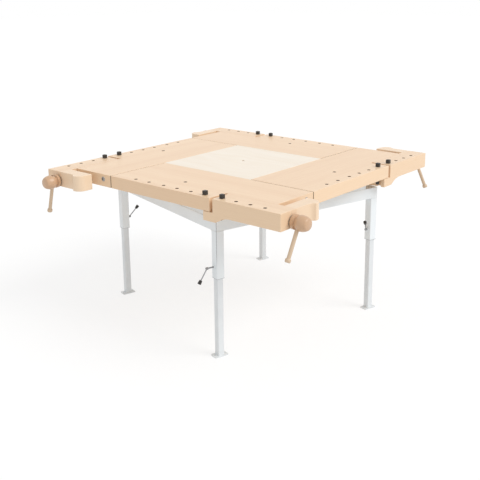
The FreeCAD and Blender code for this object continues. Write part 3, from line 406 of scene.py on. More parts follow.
JAW_PALE = (0.900, 0.665, 0.445, 1.0)
JAW_DARK = (0.740, 0.485, 0.295, 1.0)
BLOCK_PALE = (0.915, 0.705, 0.500, 1.0)
BLOCK_DARK = (0.820, 0.585, 0.390, 1.0)
ARM_STAVE = 0.0601
BLOCK_STAVE = 0.0921
arm_beech = [
    beech("arm_beech_along_x", 0, JAW_PALE, JAW_DARK, ARM_STAVE),
    beech("arm_beech_along_y", 1, JAW_PALE, JAW_DARK, ARM_STAVE),
]
block_beech = [
    beech("block_beech_along_y", 1, BLOCK_PALE, BLOCK_DARK, BLOCK_STAVE),
    beech("block_beech_along_x", 0, BLOCK_PALE, BLOCK_DARK, BLOCK_STAVE),
]
for number, side in enumerate(SIDES):
    arm = dress(f"vise_arm_{side}", arm_beech[number % 2])
    line_bores(arm, DOG_HOLES, UP, HOLE_REACH, hole_walls)
    dress(f"vise_cross_block_{side}", block_beech[number % 2])

# ---------------------------------------------------------------- guide rods
# Two bright turned steel rods, fast in each cross block, which slide in bores in the
# board's end and keep the jaw square.


def steel(name, colour, dark, roughness, scale=(300.0, 300.0, 300.0)):
    """Steel with fine marks, and darker and rougher where oil and dust have settled."""
    finish = Finish(name, metallic=1.0)
    x, y, z = finish.parts(finish.place())
    marks = finish.noise(finish.vector(x * scale[0], y * scale[1], z * scale[2]), detail=4.0)
    cloud = finish.noise(finish.vector(x * 22.0, y * 22.0, z * 22.0), detail=4.0)
    settled = finish.step(cloud, 0.42, 0.72)
    finish.set("Base Color", finish.mix(settled, colour, dark))
    finish.set("Roughness", marks * 0.14 + settled * 0.14 + (roughness - 0.10))
    finish.bump(marks, 0.25, 0.0001)
    return finish.material


ROD_BRIGHT = (0.62, 0.63, 0.64, 1.0)
ROD_WORN = (0.42, 0.42, 0.42, 1.0)
rod_steel = [
    steel("guide_rod_steel_x", ROD_BRIGHT, ROD_WORN, 0.24, (40.0, 900.0, 900.0)),
    steel("guide_rod_steel_y", ROD_BRIGHT, ROD_WORN, 0.24, (900.0, 40.0, 900.0)),
]
for number, side in enumerate(SIDES):
    dress(f"vise_guide_rods_{side}", rod_steel[number % 2])

# ---------------------------------------------------------------- vise nuts and their screws
# Cast-iron nuts with a flange screwed to the wall of the board's notch, where the screw runs
# through them. The small countersunk screws are zinc plated.

IRON = (0.16, 0.16, 0.17, 1.0)
IRON_OILED = (0.08, 0.07, 0.06, 1.0)
ZINC_BRIGHT = (0.60, 0.61, 0.63, 1.0)
ZINC_DULL = (0.46, 0.45, 0.42, 1.0)


def cast_iron():
    """Dark oiled casting with the pimples of its sand mould."""
    finish = Finish("nut_cast_iron", metallic=0.6, roughness=0.55)
    place = finish.place()
    grit = finish.noise(place, 900.0, 4.0)
    cloud = finish.step(finish.noise(place, 40.0, 3.0), 0.4, 0.7)
    finish.set("Base Color", finish.mix(cloud, IRON, IRON_OILED))
    finish.bump(grit, 0.6, 0.0004)
    return finish.material


zinc = steel("zinc_plate", ZINC_BRIGHT, ZINC_DULL, 0.34)
dress("vise_nuts", cast_iron())
dress("wood_screws", zinc)

# ---------------------------------------------------------------- vise screws
# Steel screws 24 mm across with a right-hand trapezoidal thread of 5 mm pitch. A thrust
# collar turned on each bears on the jaw's end. They are black with old oil.

JOINTS = {joint["name"]: joint for joint in frame["joints"]}
PITCH = 0.005
SCREW_CREST = 0.012
SCREW_ROOT = 0.0095
THREAD_START = -0.2865
THREAD_END = -0.0015
THREAD_ROWS = 571                   # half a millimetre apart
SCREW_COLUMNS = 32
THREAD_FOOT = 0.63                  # a ridge's width at its foot, over the pitch
THREAD_FLANK = 0.26                 # of its two flanks together, over the pitch
THREAD_FADE = 0.002                 # length over which the thread runs out
SCREW_TIP = np.array([(-0.2880, 0.0080), (-0.2872, 0.0090)])    # distances and radii
SCREW_COLLAR = np.array([
    (-0.0010, 0.0095), (-0.0008, 0.0118), (0.0005, 0.0120), (0.0005, 0.0302),
    (0.0012, 0.0310), (0.0058, 0.0310), (0.0065, 0.0302), (0.0065, 0.0120),
    (0.0230, 0.0120), (0.0240, 0.0110)])
OILED = (0.30, 0.30, 0.31, 1.0)
OILED_DARK = (0.12, 0.11, 0.10, 1.0)


def closed_faces(grid, ring):
    """Quads between the rows of a tube, and a fan at each end unless it is a ring."""
    rows, columns = grid.shape[:2]
    index = np.arange(rows * columns).reshape(rows, columns)
    after = np.roll(index, -1, axis=1)
    low, low_after = (index, after) if ring else (index[:-1], after[:-1])
    high = np.roll(index, -1, axis=0) if ring else index[1:]
    high_after = np.roll(after, -1, axis=0) if ring else after[1:]
    quads = np.stack([low, low_after, high_after, high], axis=-1).reshape(-1, 4)
    if ring:
        return quads, np.empty((0, 3), dtype=int)
    first = np.full(columns, rows * columns)
    fans = np.concatenate([
        np.stack([first, after[0], index[0]], axis=-1),
        np.stack([first + 1, index[-1], after[-1]], axis=-1)])
    return quads, fans


def skin(name, *grids, ring=False):
    """One mesh from closed tubes, each a grid of points, rows by columns by 3.

    The columns close on themselves. The rows do too in a ring, and otherwise each end closes
    with a fan of triangles to its middle. A tube whose volume comes out negative is turned
    inside out, so that its faces look outwards.
    """
    points = []
    faces = []
    count = 0
    for grid in grids:
        flat = grid.reshape(-1, 3)
        if not ring:
            flat = np.concatenate([flat, grid[:1].mean(axis=1), grid[-1:].mean(axis=1)])
        quads, fans = closed_faces(grid, ring)
        triangles = np.concatenate([quads[:, :3], quads[:, [0, 2, 3]], fans])
        corners = flat[triangles] - flat.mean(axis=0)
        volume = np.einsum("ij,ij->i", corners[:, 0], np.cross(corners[:, 1], corners[:, 2]))
        way = 1 if volume.sum() > 0.0 else -1
        faces += (quads[:, ::way] + count).tolist()
        faces += (fans[:, ::way] + count).tolist()
        points.append(flat)
        count += len(flat)
    mesh = bpy.data.meshes.new(name)
    mesh.from_pydata(np.concatenate(points).tolist(), [], faces)
    return mesh


def spread(distance, radius, origin, along, up, columns):
    """Points of rings round an axis. The radius is a grid, or one number to a row."""
    turn = np.linspace(0.0, 2.0 * math.pi, columns, endpoint=False)
    along = np.asarray(along, float)
    along = along / np.linalg.norm(along)
    up = np.asarray(up, float)
    up = up - along * (up @ along)
    up = up / np.linalg.norm(up)
    side = np.cross(along, up)
    ring = np.cos(turn)[:, None] * up + np.sin(turn)[:, None] * side
    radius = np.broadcast_to(radius, (len(distance), columns))
    middle = np.asarray(origin, float) + np.outer(distance, along)
    return middle[:, None, :] + radius[:, :, None] * ring


def threaded_screw(origin, along):
    """Rings along the screw. In the thread a ring's radius follows a trapezium of the phase,
    which is the distance over the pitch less the angle over a full turn."""
    turn = np.linspace(0.0, 1.0, SCREW_COLUMNS, endpoint=False)
    thread = np.linspace(THREAD_START, THREAD_END, THREAD_ROWS)
    phase = (thread[:, None] / PITCH - turn) % 1.0
    height = np.clip((THREAD_FOOT - np.abs(2.0 * phase - 1.0)) / THREAD_FLANK, 0.0, 1.0)
    to_end = np.minimum(thread - THREAD_START, THREAD_END - thread)
    fade = np.clip(to_end / THREAD_FADE, 0.0, 1.0)
    threaded = SCREW_ROOT + (SCREW_CREST - SCREW_ROOT) * height * fade[:, None]
    tip = np.repeat(SCREW_TIP[:, 1:], SCREW_COLUMNS, axis=1)
    collar = np.repeat(SCREW_COLLAR[:, 1:], SCREW_COLUMNS, axis=1)
    distance = np.concatenate([SCREW_TIP[:, 0], thread, SCREW_COLLAR[:, 0]])
    radius = np.concatenate([tip, threaded, collar])
    return spread(distance, radius, origin, along, UP, SCREW_COLUMNS)


oiled_steel = steel("oiled_steel", OILED, OILED_DARK, 0.36)
for side in SIDES:
    spin = JOINTS[f"screw_spin_{side}"]
    screw = skin(f"vise_screw_{side}_threaded", threaded_screw(spin["pos_m"], spin["axis"]))
    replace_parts(show(screw, oiled_steel, f"screw_{side}", 40.0),
                f"vise_screw_{side}")

# ---------------------------------------------------------------- turned heads
# The wooden head on each vise screw, turned from one piece of beech with its grain along
# the screw, and lacquered. A bore through it takes the tommy bar.

TURNED_PALE = (0.660, 0.425, 0.260, 1.0)
TURNED_DARK = (0.510, 0.300, 0.165, 1.0)
TURNED_STAVE = 0.2                  # wider than any turned piece, which is one stave
TURNED_HEIGHT = 0.78                # given to a turned piece's axis, for its rings
turned_beech = beech("turned_beech", None, TURNED_PALE, TURNED_DARK, TURNED_STAVE, 0.36)


def turned_grain(piece, origin, along, up, seed):
    """Grain along a turned piece's axis, each in a stave of its own."""
    along = np.asarray(along, float)
    up = np.asarray(up, float)
    place = points_of(piece.data) - np.asarray(origin, float)
    across = place @ np.cross(along, up) + (seed + 0.5) * TURNED_STAVE
    grain = np.stack([across, place @ up + TURNED_HEIGHT, place @ along], axis=1)
    set_grain(piece, grain, np.broadcast_to(along, grain.shape))


BAR_PLACE = 0.037                   # the bar's hole, from the jaw's end
COUNTERBORE_REACH = 0.0125          # just past its wall, 11.5 mm from the hole's axis
# The counterbore walls get the same dirt and painted shade as the dog holes.
bar_holes = bore_dirt_and_shade("bar_hole_walls")
for number, side in enumerate(SIDES):
    spin = JOINTS[f"screw_spin_{side}"]
    head = dress(f"vise_head_{side}", turned_beech, 35.0)
    hang = JOINTS[f"bar_slide_{side}"]["axis"]
    turned_grain(head, spin["pos_m"], spin["axis"], hang, number)
    hole = np.array(spin["pos_m"]) + np.array(spin["axis"]) * BAR_PLACE
    line_bores(head, [hole], hang, COUNTERBORE_REACH, bar_holes)

# ---------------------------------------------------------------- tommy bars
# A turned beech rod that drops through the head until its upper end seats in the head. A
# knob at the lower end keeps it from coming out.

BAR_PALE = (0.700, 0.535, 0.375, 1.0)
BAR_DARK = (0.545, 0.380, 0.240, 1.0)
BAR_STAVES = 5                      # the first bar's stave, past those of the heads
bar_beech = beech("bar_beech", None, BAR_PALE, BAR_DARK, TURNED_STAVE, 0.40)
for number, side in enumerate(SIDES):
    spin = JOINTS[f"screw_spin_{side}"]
    bar = dress(f"tommy_bar_{side}", bar_beech, 35.0)
    turned_grain(bar, spin["pos_m"], JOINTS[f"bar_slide_{side}"]["axis"], spin["axis"],
                 number + BAR_STAVES)

# ---------------------------------------------------------------- bench dogs
# Black moulded dogs, one in each board and one in each jaw. A round shank hangs in the hole
# by a square head, whose two clamping faces are ribbed so that they grip the work.

DOG_RISE = 0.021
DOG_RADIUS = 0.00945
DOG_HALF = 0.0105
DOG_CORNER = 0.002
RIB_PITCH = 0.0036
RIB_DEPTH = 0.0005
RIB_ROWS = 49
CORNER_STEPS = 7
SHANK_PROFILE = ((-0.1000, 0.0080), (-0.0985, DOG_RADIUS), (-0.0002, DOG_RADIUS))
SHANK_FLAT = 0.0001                 # left of the rounded square that makes a round shank


def moulded_plastic(name, colour):
    """Plastic with the fine matt grain of its mould."""
    finish = Finish(name, roughness=0.42, base_color=colour)
    finish.bump(finish.noise(finish.place(), 2600.0, 2.0), 0.35, 0.0001)
    return finish.material


def rounded_rings(half_x, half_y, corner):
    """Rounded rectangles, one to a row: the centre of a corner plus the corner's radius
    times the cosine and sine of the angle."""
    quarters = [np.linspace(start, start + 1.0, CORNER_STEPS) for start in range(4)]
    turn = np.concatenate(quarters) * math.pi / 2.0
    sign_x = np.repeat((1.0, -1.0, -1.0, 1.0), CORNER_STEPS)
    sign_y = np.repeat((1.0, 1.0, -1.0, -1.0), CORNER_STEPS)
    half_x, half_y, corner = (np.asarray(row, float)[:, None] for row in (half_x, half_y, corner))
    x = sign_x * (half_x - corner) + corner * np.cos(turn)
    y = sign_y * (half_y - corner) + corner * np.sin(turn)
    return np.stack([x, y], axis=-1)


def dog_grid(x, y, z, along):
    """Rows of rounded rectangles, from a round shank to a square head.

    The ribs lessen the head's half width by a cosine wave of the height. Their two faces look
    along Y where along is set, and along X otherwise.
    """
    ribs = np.linspace(0.0018, DOG_RISE - 0.0020, RIB_ROWS)
    groove = RIB_DEPTH * (0.5 - 0.5 * np.cos(2.0 * math.pi * (ribs - ribs[0]) / RIB_PITCH))
    rows = [(height, radius, radius, radius - SHANK_FLAT) for height, radius in SHANK_PROFILE]
    rows += [(0.0, DOG_HALF - 0.0006, DOG_HALF - 0.0006, DOG_CORNER),
             (0.0008, DOG_HALF, DOG_HALF, DOG_CORNER)]
    flat = np.full((RIB_ROWS, 2), (DOG_HALF, DOG_CORNER))
    rows += np.column_stack([ribs, DOG_HALF - groove, flat]).tolist()
    rows += [(DOG_RISE - 0.0012, DOG_HALF - 0.0001, DOG_HALF - 0.0001, DOG_CORNER),
             (DOG_RISE - 0.0004, DOG_HALF - 0.0006, DOG_HALF - 0.0006, DOG_CORNER),
             (DOG_RISE, DOG_HALF - 0.0016, DOG_HALF - 0.0016, DOG_CORNER - 0.0006)]
    height, half_x, half_y, corner = np.array(rows).T
    if along:
        half_x, half_y = half_y, half_x
    outline = rounded_rings(half_x, half_y, corner)
    upright = np.repeat(height[:, None, None], outline.shape[1], axis=1)
    return np.concatenate([outline, upright], axis=-1) + np.array((x, y, z))


BLACK = (0.026, 0.022, 0.018, 1.0)
dog_plastic = moulded_plastic("dog_plastic", BLACK)
for number, side in enumerate(SIDES):
    for name in (f"board_dog_{side}", f"jaw_dog_{side}"):
        low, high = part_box(name)
        grid = dog_grid((low[0] + high[0]) / 2, (low[1] + high[1]) / 2, high[2] - DOG_RISE,
                        number % 2)
        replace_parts(show(skin(f"{name}_ribbed", grid), dog_plastic, name), name)

# ---------------------------------------------------------------- steel rails
# Rectangular tubes, mitred and welded into a square that is turned against the top, and
# powder coated light grey. The bearers lie on them.

COAT = (0.875, 0.915, 0.935, 1.0)
COAT_SHADE = (0.810, 0.850, 0.870, 1.0)
EDGE_ROUND = 0.0012
SEAM_DARK = (0.20, 0.20, 0.21, 1.0)
SEAM_HALF = (0.0008, 0.0020)        # half its width, dark and where it has faded out
SEAM_FADE = (0.46, 0.56)            # heights where the seam ends and where it is whole
FRAME_TURN = math.radians(14.64)    # of the frame against the top
FRAME_X = np.array((math.cos(FRAME_TURN), -math.sin(FRAME_TURN), 0.0))
FRAME_Y = np.array((math.sin(FRAME_TURN), math.cos(FRAME_TURN), 0.0))


def powder_coat(name, colour, shade, roughness=0.38, rubbed=0.0, seamed=False):
    """Orange peel over faint clouds of dust, with upright rub marks where a tube slides. A
    thin dark seam runs down each corner of a seamed frame, where its diagonals come out, and
    fades on the legs."""
    finish = Finish(name, roughness=roughness, coat_weight=0.15, coat_roughness=0.2)
    x, y, z = finish.parts(finish.place())
    peel = finish.noise(finish.vector(x * 420.0, y * 420.0, z * 420.0), detail=2.0)
    cloud = finish.step(finish.noise(finish.vector(x * 7.0, y * 7.0, z * 7.0)), 0.35, 0.75)
    marks = finish.noise(finish.vector(x * 650.0, y * 650.0, z * 5.0), detail=2.0)
    streaks = finish.step(marks, 0.60, 0.74) * rubbed
    colour = finish.mix(cloud * 0.6 + streaks, colour, shade)
    if seamed:
        far = (x * FRAME_X[0] + y * FRAME_X[1]).maths("ABSOLUTE")
        wide = (x * FRAME_Y[0] + y * FRAME_Y[1]).maths("ABSOLUTE")
        seam = 1.0 - finish.step((far - wide).maths("ABSOLUTE"), *SEAM_HALF)
        seam = seam * finish.step(z, *SEAM_FADE)
        colour = finish.mix(seam, colour, SEAM_DARK)
    finish.set("Base Color", colour)
    finish.set("Roughness", cloud * 0.08 + streaks * 0.2 + roughness)
    finish.bump(peel, 0.3, 0.00018)
    return finish.material


frame_paint = powder_coat("frame_paint", COAT, COAT_SHADE, seamed=True)
for side in SIDES:
    rail = dress(f"rail_{side}", frame_paint)
    edge = rail.modifiers.new("Edge", "BEVEL")
    edge.width = EDGE_ROUND
    edge.segments = 2
    edge.limit_method = "ANGLE"
    edge.angle_limit = math.radians(40.0)

# ---------------------------------------------------------------- bearers
# Planed strips between the steel rails and the boards, brushed with paint to match the
# rails.


def brushed_paint(name, colour, shade):
    """Paint on wood, whose brush marks run along the strips, with the fibres showing through."""
    finish = Finish(name, roughness=0.55, coat_weight=0.08, coat_roughness=0.4)
    across, up, length = finish.parts(finish.attribute("grain"))
    marks = finish.noise(finish.vector(length * 6.0, across * 340.0, up * 340.0), detail=4.0)
    cloud = finish.noise(finish.vector(length * 3.0, across * 8.0, up * 8.0), detail=2.0)
    finish.set("Base Color", finish.mix(marks * 0.5 + cloud * 0.5, colour, shade))
    finish.set("Roughness", marks * 0.16 + 0.45)
    finish.bump(marks, 0.35, 0.0003)
    return finish.material


frame_grain(dress("rail_bearers", brushed_paint("bearer_paint", COAT, COAT_SHADE)), FRAME_X, FRAME_Y)

# ---------------------------------------------------------------- upper legs
# Square tubes welded under the corners of the rails. Each has a nut for its clamp screw
# welded to it. The welds are rippled beads under the same paint.

UPPER_HALF = 0.0225                 # half an upper leg's width
TUBE_CORNER = 0.003
LEG_BEAD = 0.0021
BOSS_RADIUS = 0.008
BOSS_BEAD = 0.0014
RIPPLE = 0.0022                     # length of one ripple of a weld
RIPPLE_HEIGHT = 0.13                # of the bead's radius
BEAD_COLUMNS = 8
CIRCLE_POINTS = 48


def evenly(path, spacing):
    """Points along a closed path at an even spacing."""
    closed = np.concatenate([path, path[:1]])
    gone = np.concatenate([[0.0], np.cumsum(np.linalg.norm(np.diff(closed, axis=0), axis=1))])
    wanted = np.linspace(0.0, gone[-1], int(gone[-1] / spacing), endpoint=False)
    return np.stack([np.interp(wanted, gone, closed[:, axis]) for axis in range(3)], axis=1)


def weld(path, normal, radius):
    """A ring of circles along a closed path. Their radius rises and falls with the sine of
    the distance, once to a ripple."""
    path = evenly(path, RIPPLE / 4.0)
    run = np.roll(path, -1, axis=0) - np.roll(path, 1, axis=0)
    run = run / np.linalg.norm(run, axis=1)[:, None]
    side = np.cross(run, normal)
    ripple = 1.0 + RIPPLE_HEIGHT * np.sin(np.arange(len(path)) * math.pi / 2.0)
    turn = np.linspace(0.0, 2.0 * math.pi, BEAD_COLUMNS, endpoint=False)
    ring = (np.cos(turn)[None, :, None] * side[:, None, :]
            + np.sin(turn)[None, :, None] * np.asarray(normal, float))
    return path[:, None, :] + ring * (radius * ripple)[:, None, None]


def square_path(centre, half, height):
    """A square with rounded corners, in the frame's own axes."""
    outline = rounded_rings([half], [half], [TUBE_CORNER])[0]
    flat = outline[:, :1] * FRAME_X + outline[:, 1:] * FRAME_Y
    return flat + np.array((centre[0], centre[1], height))


def circle_path(centre, normal, radius):
    """The centre plus the radius times the cosine and sine of the angle, square to normal."""
    turn = np.linspace(0.0, 2.0 * math.pi, CIRCLE_POINTS, endpoint=False)[:, None]
    side = np.cross(normal, UP)
    return np.asarray(centre) + radius * (np.cos(turn) * UP + np.sin(turn) * side)


def middle_of(node):
    """The middle of a node's box."""
    low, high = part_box(node)
    return np.array([(low[axis] + high[axis]) / 2 for axis in range(3)])


rail_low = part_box("rail_front")[0][2]
for side in SIDES:
    dress(f"leg_upper_{side}", frame_paint)
    turn = JOINTS[f"lever_turn_{side}"]
    out = np.array(turn["axis"])
    leg = middle_of(f"leg_lower_{side}")
    boss = np.array((leg[0], leg[1], turn["pos_m"][2])) + out * UPPER_HALF
    beads = skin(f"leg_welds_{side}",
                 weld(square_path(leg, UPPER_HALF, rail_low), UP, LEG_BEAD),
                 weld(circle_path(boss, out, BOSS_RADIUS), out, BOSS_BEAD), ring=True)
    show(beads, frame_paint, "bench", 60.0)

# ---------------------------------------------------------------- sleeves
# Grey plastic sleeves pushed into the upper legs from below, in which the lower legs slide.

SLEEVE_GREY = (0.60, 0.62, 0.63, 1.0)
sleeve_plastic = moulded_plastic("sleeve_plastic", SLEEVE_GREY)
dress("leg_sleeves", sleeve_plastic)

# ---------------------------------------------------------------- lower legs
# Square tubes that slide in the upper legs, welded to flat foot plates with two bolt holes.
# The paint is rubbed along the length where they slide.

LOWER_HALF = 0.0175                 # half a lower leg's width
FOOT_THICK = 0.005
FOOT_BEAD = 0.0023
LEG_COAT = (0.800, 0.828, 0.842, 1.0)
LEG_COAT_SHADE = (0.715, 0.742, 0.756, 1.0)
leg_paint = powder_coat("leg_paint", LEG_COAT, LEG_COAT_SHADE, 0.34, rubbed=0.5)
for side in SIDES:
    dress(f"leg_lower_{side}", leg_paint)
    path = square_path(middle_of(f"leg_lower_{side}"), LOWER_HALF, FOOT_THICK)
    bead = skin(f"foot_weld_{side}", weld(path, UP, FOOT_BEAD), ring=True)
    show(bead, leg_paint, f"leg_{side}", 60.0)

# ---------------------------------------------------------------- clamp levers
# A dark plated clamp screw in each upper leg, turned by a leaning rod with a black fluted
# grip. LEVER_TURN is how far each rod stands off the upright at rest. The screw reaches in
# to the lower leg, and its thread shows where it is backed out.

LEVER_TURN = {"front": 183.0, "right": 32.0, "back": -28.0, "left": -23.0}
LEVER_LEAN = math.radians(32.0)
STUD_TIP = 0.0177                   # from the leg's axis
STUD_PITCH = 0.00125
STUD_CREST = 0.0040
STUD_ROOT = 0.0034
STUD_SHORT = 0.0009                 # the thread ends this far from the hub
HUB_MIDDLE = 0.006                  # where the rod's axis meets the hub's
HUB_PROFILE = np.array([
    (-0.0010, 0.0040), (0.0, 0.0042), (0.0, 0.0058), (0.0006, 0.0065), (0.0034, 0.0065),
    (0.0038, 0.0060), (0.0042, 0.0060), (0.0046, 0.0065), (0.0076, 0.0065), (0.0080, 0.0060),
    (0.0084, 0.0060), (0.0088, 0.0065), (0.0112, 0.0065), (0.0120, 0.0057), (0.0120, 0.0040),
    (0.0114, 0.0034)])
ROD_PROFILE = np.array([(0.0, 0.0030), (0.0700, 0.0030), (0.0710, 0.0024)])
GRIP_PROFILE = np.array([
    (0.0650, 0.0040), (0.0650, 0.0068), (0.0656, 0.0076), (0.0680, 0.0081), (0.0720, 0.0084),
    (0.0765, 0.0088), (0.0810, 0.0092), (0.0840, 0.0095), (0.0852, 0.0091), (0.0860, 0.0080),
    (0.0860, 0.0050)])
STUD_COLUMNS = 24
HUB_COLUMNS = 40
ROD_COLUMNS = 24
GRIP_COLUMNS = 72
FLUTES = 9
FLUTE_DEPTH = 0.07                  # of the grip's radius
FLUTE_SPAN = (0.0660, 0.0854)       # the flutes, along the rod
FLUTE_FADE = 0.003
LEVER_GREY = (0.34, 0.34, 0.35, 1.0)
LEVER_DARK = (0.18, 0.17, 0.17, 1.0)


def stud(seat, out, length):
    """Rings whose radius follows a triangle wave of the distance over the pitch less the
    angle over a full turn."""
    distance = np.arange(-length, -STUD_SHORT, STUD_PITCH / 8.0)
    turn = np.linspace(0.0, 1.0, STUD_COLUMNS, endpoint=False)
    phase = (distance[:, None] / STUD_PITCH - turn) % 1.0
    fade = np.clip((distance[:, None] + length) / THREAD_FADE, 0.0, 1.0)
    height = np.abs(2.0 * phase - 1.0) * fade
    radius = STUD_ROOT + (STUD_CREST - STUD_ROOT) * height
    return spread(distance, radius, seat, out, UP, STUD_COLUMNS)


def fluted(profile):
    """A profile's radii round the grip, less a squared raised cosine of the angle in its
    middle stretch, which fades towards both ends."""
    angle = np.linspace(0.0, 2.0 * math.pi, GRIP_COLUMNS, endpoint=False)
    flute = 1.0 - FLUTE_DEPTH * (0.5 + 0.5 * np.cos(FLUTES * angle)) ** 2
    inside = np.clip((profile[:, :1] - FLUTE_SPAN[0]) / FLUTE_FADE, 0.0, 1.0)
    inside = inside * np.clip((FLUTE_SPAN[1] - profile[:, :1]) / FLUTE_FADE, 0.0, 1.0)
    return profile[:, 1:] * (1.0 + (flute - 1.0) * inside)


lever_steel = steel("lever_steel", LEVER_GREY, LEVER_DARK, 0.32)
grip_plastic = moulded_plastic("grip_plastic", BLACK)
for side in SIDES:
    turn = JOINTS[f"lever_turn_{side}"]
    out = np.array(turn["axis"])
    seat = np.array(turn["pos_m"])
    lever = math.radians(LEVER_TURN[side])
    upright = math.sin(lever) * np.cross(UP, out) + math.cos(lever) * UP
    rod = math.cos(LEVER_LEAN) * upright + math.sin(LEVER_LEAN) * out
    root = seat + out * HUB_MIDDLE
    stud_length = (seat - middle_of(f"leg_lower_{side}")) @ out - STUD_TIP
    metal = skin(f"clamp_lever_{side}_metal",
                 stud(seat, out, stud_length),
                 spread(HUB_PROFILE[:, 0], HUB_PROFILE[:, 1:], seat, out, UP, HUB_COLUMNS),
                 spread(ROD_PROFILE[:, 0], ROD_PROFILE[:, 1:], root, rod, out, ROD_COLUMNS))
    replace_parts(show(metal, lever_steel, f"lever_{side}"), f"clamp_lever_{side}")
    grip = skin(f"clamp_lever_{side}_grip",
                spread(GRIP_PROFILE[:, 0], fluted(GRIP_PROFILE), root, rod, out, GRIP_COLUMNS))
    show(grip, grip_plastic, f"lever_{side}")

# ---------------------------------------------------------------- tie rods
# Long bolts through the boards, 27 mm below the top, which pull each board against the next.
# Their domed heads have a hexagon socket and bear on the boards' ends.

TIE_INSET = 0.378                   # from the bench's middle plane
TIE_HEIGHT = 0.830                  # above the floor
TIE_LENGTH = 1.084                  # under the head
HEXAGON_COLUMNS = 48
TIE_GREY = (0.40, 0.40, 0.41, 1.0)
TIE_DARK = (0.26, 0.25, 0.24, 1.0)
TIE_PROFILE = np.array([
    (-TIE_LENGTH, 0.0052, 0.0), (-TIE_LENGTH + 0.001, 0.0060, 0.0), (0.0, 0.0060, 0.0),
    (0.0, 0.0126, 0.0), (0.0005, 0.0130, 0.0), (0.0016, 0.0127, 0.0), (0.0030, 0.0115, 0.0),
    (0.0042, 0.0094, 0.0), (0.0049, 0.0072, 0.0), (0.0050, 0.0060, 0.0),
    (0.0050, 0.0052, 1.0), (0.0016, 0.0050, 1.0), (0.0012, 0.0020, 0.5)])


def hexagonal(profile, origin, along, up):
    """Rings whose radius is pulled in to a hexagon by the third number of each row."""
    angle = np.linspace(0.0, 2.0 * math.pi, HEXAGON_COLUMNS, endpoint=False)
    flat = math.cos(math.pi / 6) / np.cos(angle % (math.pi / 3) - math.pi / 6)
    radius = profile[:, 1:2] * (1.0 + (flat - 1.0) * profile[:, 2:3])
    return spread(profile[:, 0], radius, origin, along, up, HEXAGON_COLUMNS)


board_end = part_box("board_front")[1][0]
bolts = []
for number in range(len(SIDES)):
    quarter = Matrix.Rotation(number * math.pi / 2, 3, "Z")
    seat = quarter @ Vector((board_end, -TIE_INSET, TIE_HEIGHT))
    bolts.append(hexagonal(TIE_PROFILE, seat, quarter @ Vector((1.0, 0.0, 0.0)), UP))
tie_steel = steel("tie_rod_steel", TIE_GREY, TIE_DARK, 0.40)
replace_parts(show(skin("tie_rods_socketed", *bolts), tie_steel, "bench"),
            "tie_rods")

# ---------------------------------------------------------------- coach screws
# Three hexagon-headed screws with washers under each rail, up through the bearer into the
# boards.

COACH_PLACES = (-0.368, -0.038, 0.382)      # along a rail, from its middle
COACH_LINE = 0.518                  # a rail's row of them, from the bench's middle
COACH_PROFILE = np.array([
    (-0.1590, 0.0012, 0.0), (-0.1520, 0.0038, 0.0), (0.0, 0.0040, 0.0), (0.0, 0.0080, 0.0),
    (0.0013, 0.0080, 0.0), (0.0014, 0.0075, 1.0), (0.0049, 0.0075, 1.0), (0.0055, 0.0068, 0.4),
    (0.0055, 0.0040, 0.0)])
screws = []
for number in range(len(SIDES)):
    quarter = Matrix.Rotation(number * math.pi / 2 - FRAME_TURN, 3, "Z")
    for place in COACH_PLACES:
        seat = quarter @ Vector((place, -COACH_LINE, rail_low))
        screws.append(hexagonal(COACH_PROFILE, seat, -UP, FRAME_X))
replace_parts(show(skin("coach_screws_headed", *screws), zinc, "bench"),
            "coach_screws")

# ---------------------------------------------------------------- floor, light and camera
# A pale floor that keeps the bench's shadow, soft light from all round and from the floor, a
# soft sun from the right, and a camera at standing height. Its principal point lies above the
# middle of the picture, which is the shift.

FLOOR_HALF = 40.0
FLOOR_LIT = (0.55, 0.28)            # grey and glow for the light that it throws back
FLOOR_SEEN = (0.32, 0.70)           # grey and glow as it is seen
SKY = 0.72
SUN_FROM = Vector((0.70, 0.22, 0.68))
SUN_STRENGTH = 1.32
SUN_ANGLE = math.radians(35.0)
SENSOR = 36.0
LENS = 57.91
CAMERA_PLACE = (2.8183, -3.2986, 1.8284)
AZIMUTH = math.radians(40.9227)
PITCH_DOWN = math.radians(14.2321)
ROLL = math.radians(0.6081)
SHIFT = (0.0041, -0.12)


def seen_rays(tree):
    """1 for rays from the camera, a mirror or glass, and 0 for those that carry light."""
    path = tree.nodes.new("ShaderNodeLightPath")
    total = path.outputs["Is Camera Ray"]
    for name in ("Is Glossy Ray", "Is Transmission Ray"):
        larger = tree.nodes.new("ShaderNodeMath")
        larger.operation = "MAXIMUM"
        tree.links.new(total, larger.inputs[0])
        tree.links.new(path.outputs[name], larger.inputs[1])
        total = larger.outputs[0]
    return total


def choose(tree, share, first, second, target):
    """Feed target with the first shader where share is 0 and with the second where it is 1."""
    chosen = tree.nodes.new("ShaderNodeMixShader")
    tree.links.new(share, chosen.inputs[0])
    tree.links.new(first, chosen.inputs[1])
    tree.links.new(second, chosen.inputs[2])
    tree.links.new(chosen.outputs[0], target)


world = bpy.data.worlds.new("Studio")
world.use_nodes = True
sky = world.node_tree
light = sky.nodes["Background"]
light.inputs["Color"].default_value = (1.0, 1.0, 1.0, 1.0)
light.inputs["Strength"].default_value = SKY
backdrop = sky.nodes.new("ShaderNodeBackground")
backdrop.inputs["Color"].default_value = (1.0, 1.0, 1.0, 1.0)
choose(sky, seen_rays(sky), light.outputs[0], backdrop.outputs[0],
       sky.nodes["World Output"].inputs["Surface"])
bpy.context.scene.world = world

floor_finish = bpy.data.materials.new("floor")
floor_finish.use_nodes = True
ground = floor_finish.node_tree
ground.nodes.remove(ground.nodes["Principled BSDF"])


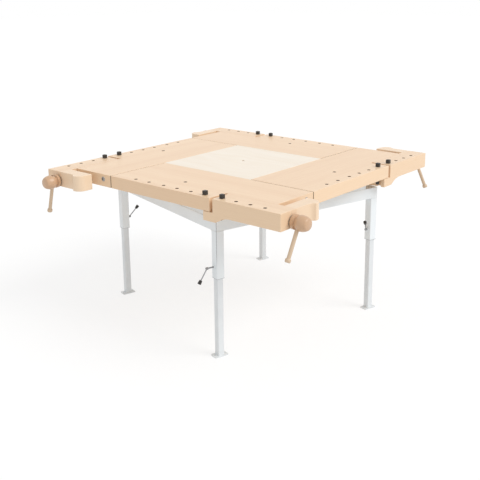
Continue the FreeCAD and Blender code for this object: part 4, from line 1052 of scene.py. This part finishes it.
def glowing(tree, grey, strength):
    """A matt shader that gives off light of its own as well."""
    matt = tree.nodes.new("ShaderNodeBsdfDiffuse")
    matt.inputs["Color"].default_value = (grey, grey, grey, 1.0)
    glow = tree.nodes.new("ShaderNodeEmission")
    glow.inputs["Strength"].default_value = strength
    both = tree.nodes.new("ShaderNodeAddShader")
    tree.links.new(matt.outputs[0], both.inputs[0])
    tree.links.new(glow.outputs[0], both.inputs[1])
    return both.outputs[0]


choose(ground, seen_rays(ground), glowing(ground, *FLOOR_LIT), glowing(ground, *FLOOR_SEEN),
       ground.nodes["Material Output"].inputs["Surface"])
floor_mesh = bpy.data.meshes.new("floor")
floor_corners = [(-FLOOR_HALF, -FLOOR_HALF, 0.0), (FLOOR_HALF, -FLOOR_HALF, 0.0),
                 (FLOOR_HALF, FLOOR_HALF, 0.0), (-FLOOR_HALF, FLOOR_HALF, 0.0)]
floor_mesh.from_pydata(floor_corners, [], [(0, 1, 2, 3)])
floor_mesh.materials.append(floor_finish)
floor = bpy.data.objects.new("floor", floor_mesh)
bpy.context.scene.collection.objects.link(floor)

sun_light = bpy.data.lights.new("sun", "SUN")
sun_light.energy = SUN_STRENGTH
sun_light.angle = SUN_ANGLE
sun = bpy.data.objects.new("sun", sun_light)
sun.rotation_euler = SUN_FROM.to_track_quat("Z", "Y").to_euler()
bpy.context.scene.collection.objects.link(sun)

forward = np.array((-math.cos(PITCH_DOWN) * math.sin(AZIMUTH),
                    math.cos(PITCH_DOWN) * math.cos(AZIMUTH), -math.sin(PITCH_DOWN)))
level = np.cross(forward, UP)
level = level / np.linalg.norm(level)
down = np.cross(forward, level)
right = math.cos(ROLL) * level + math.sin(ROLL) * down
down = math.cos(ROLL) * down - math.sin(ROLL) * level
lens = bpy.data.cameras.new("camera")
lens.lens = LENS
lens.sensor_width = SENSOR
lens.shift_x, lens.shift_y = SHIFT
camera = bpy.data.objects.new("camera", lens)
turned = Matrix((right, -down, -forward)).transposed().to_4x4()
camera.matrix_world = Matrix.Translation(CAMERA_PLACE) @ turned
bpy.context.scene.collection.objects.link(camera)
bpy.context.scene.camera = camera
bpy.context.scene.view_settings.view_transform = "Standard"
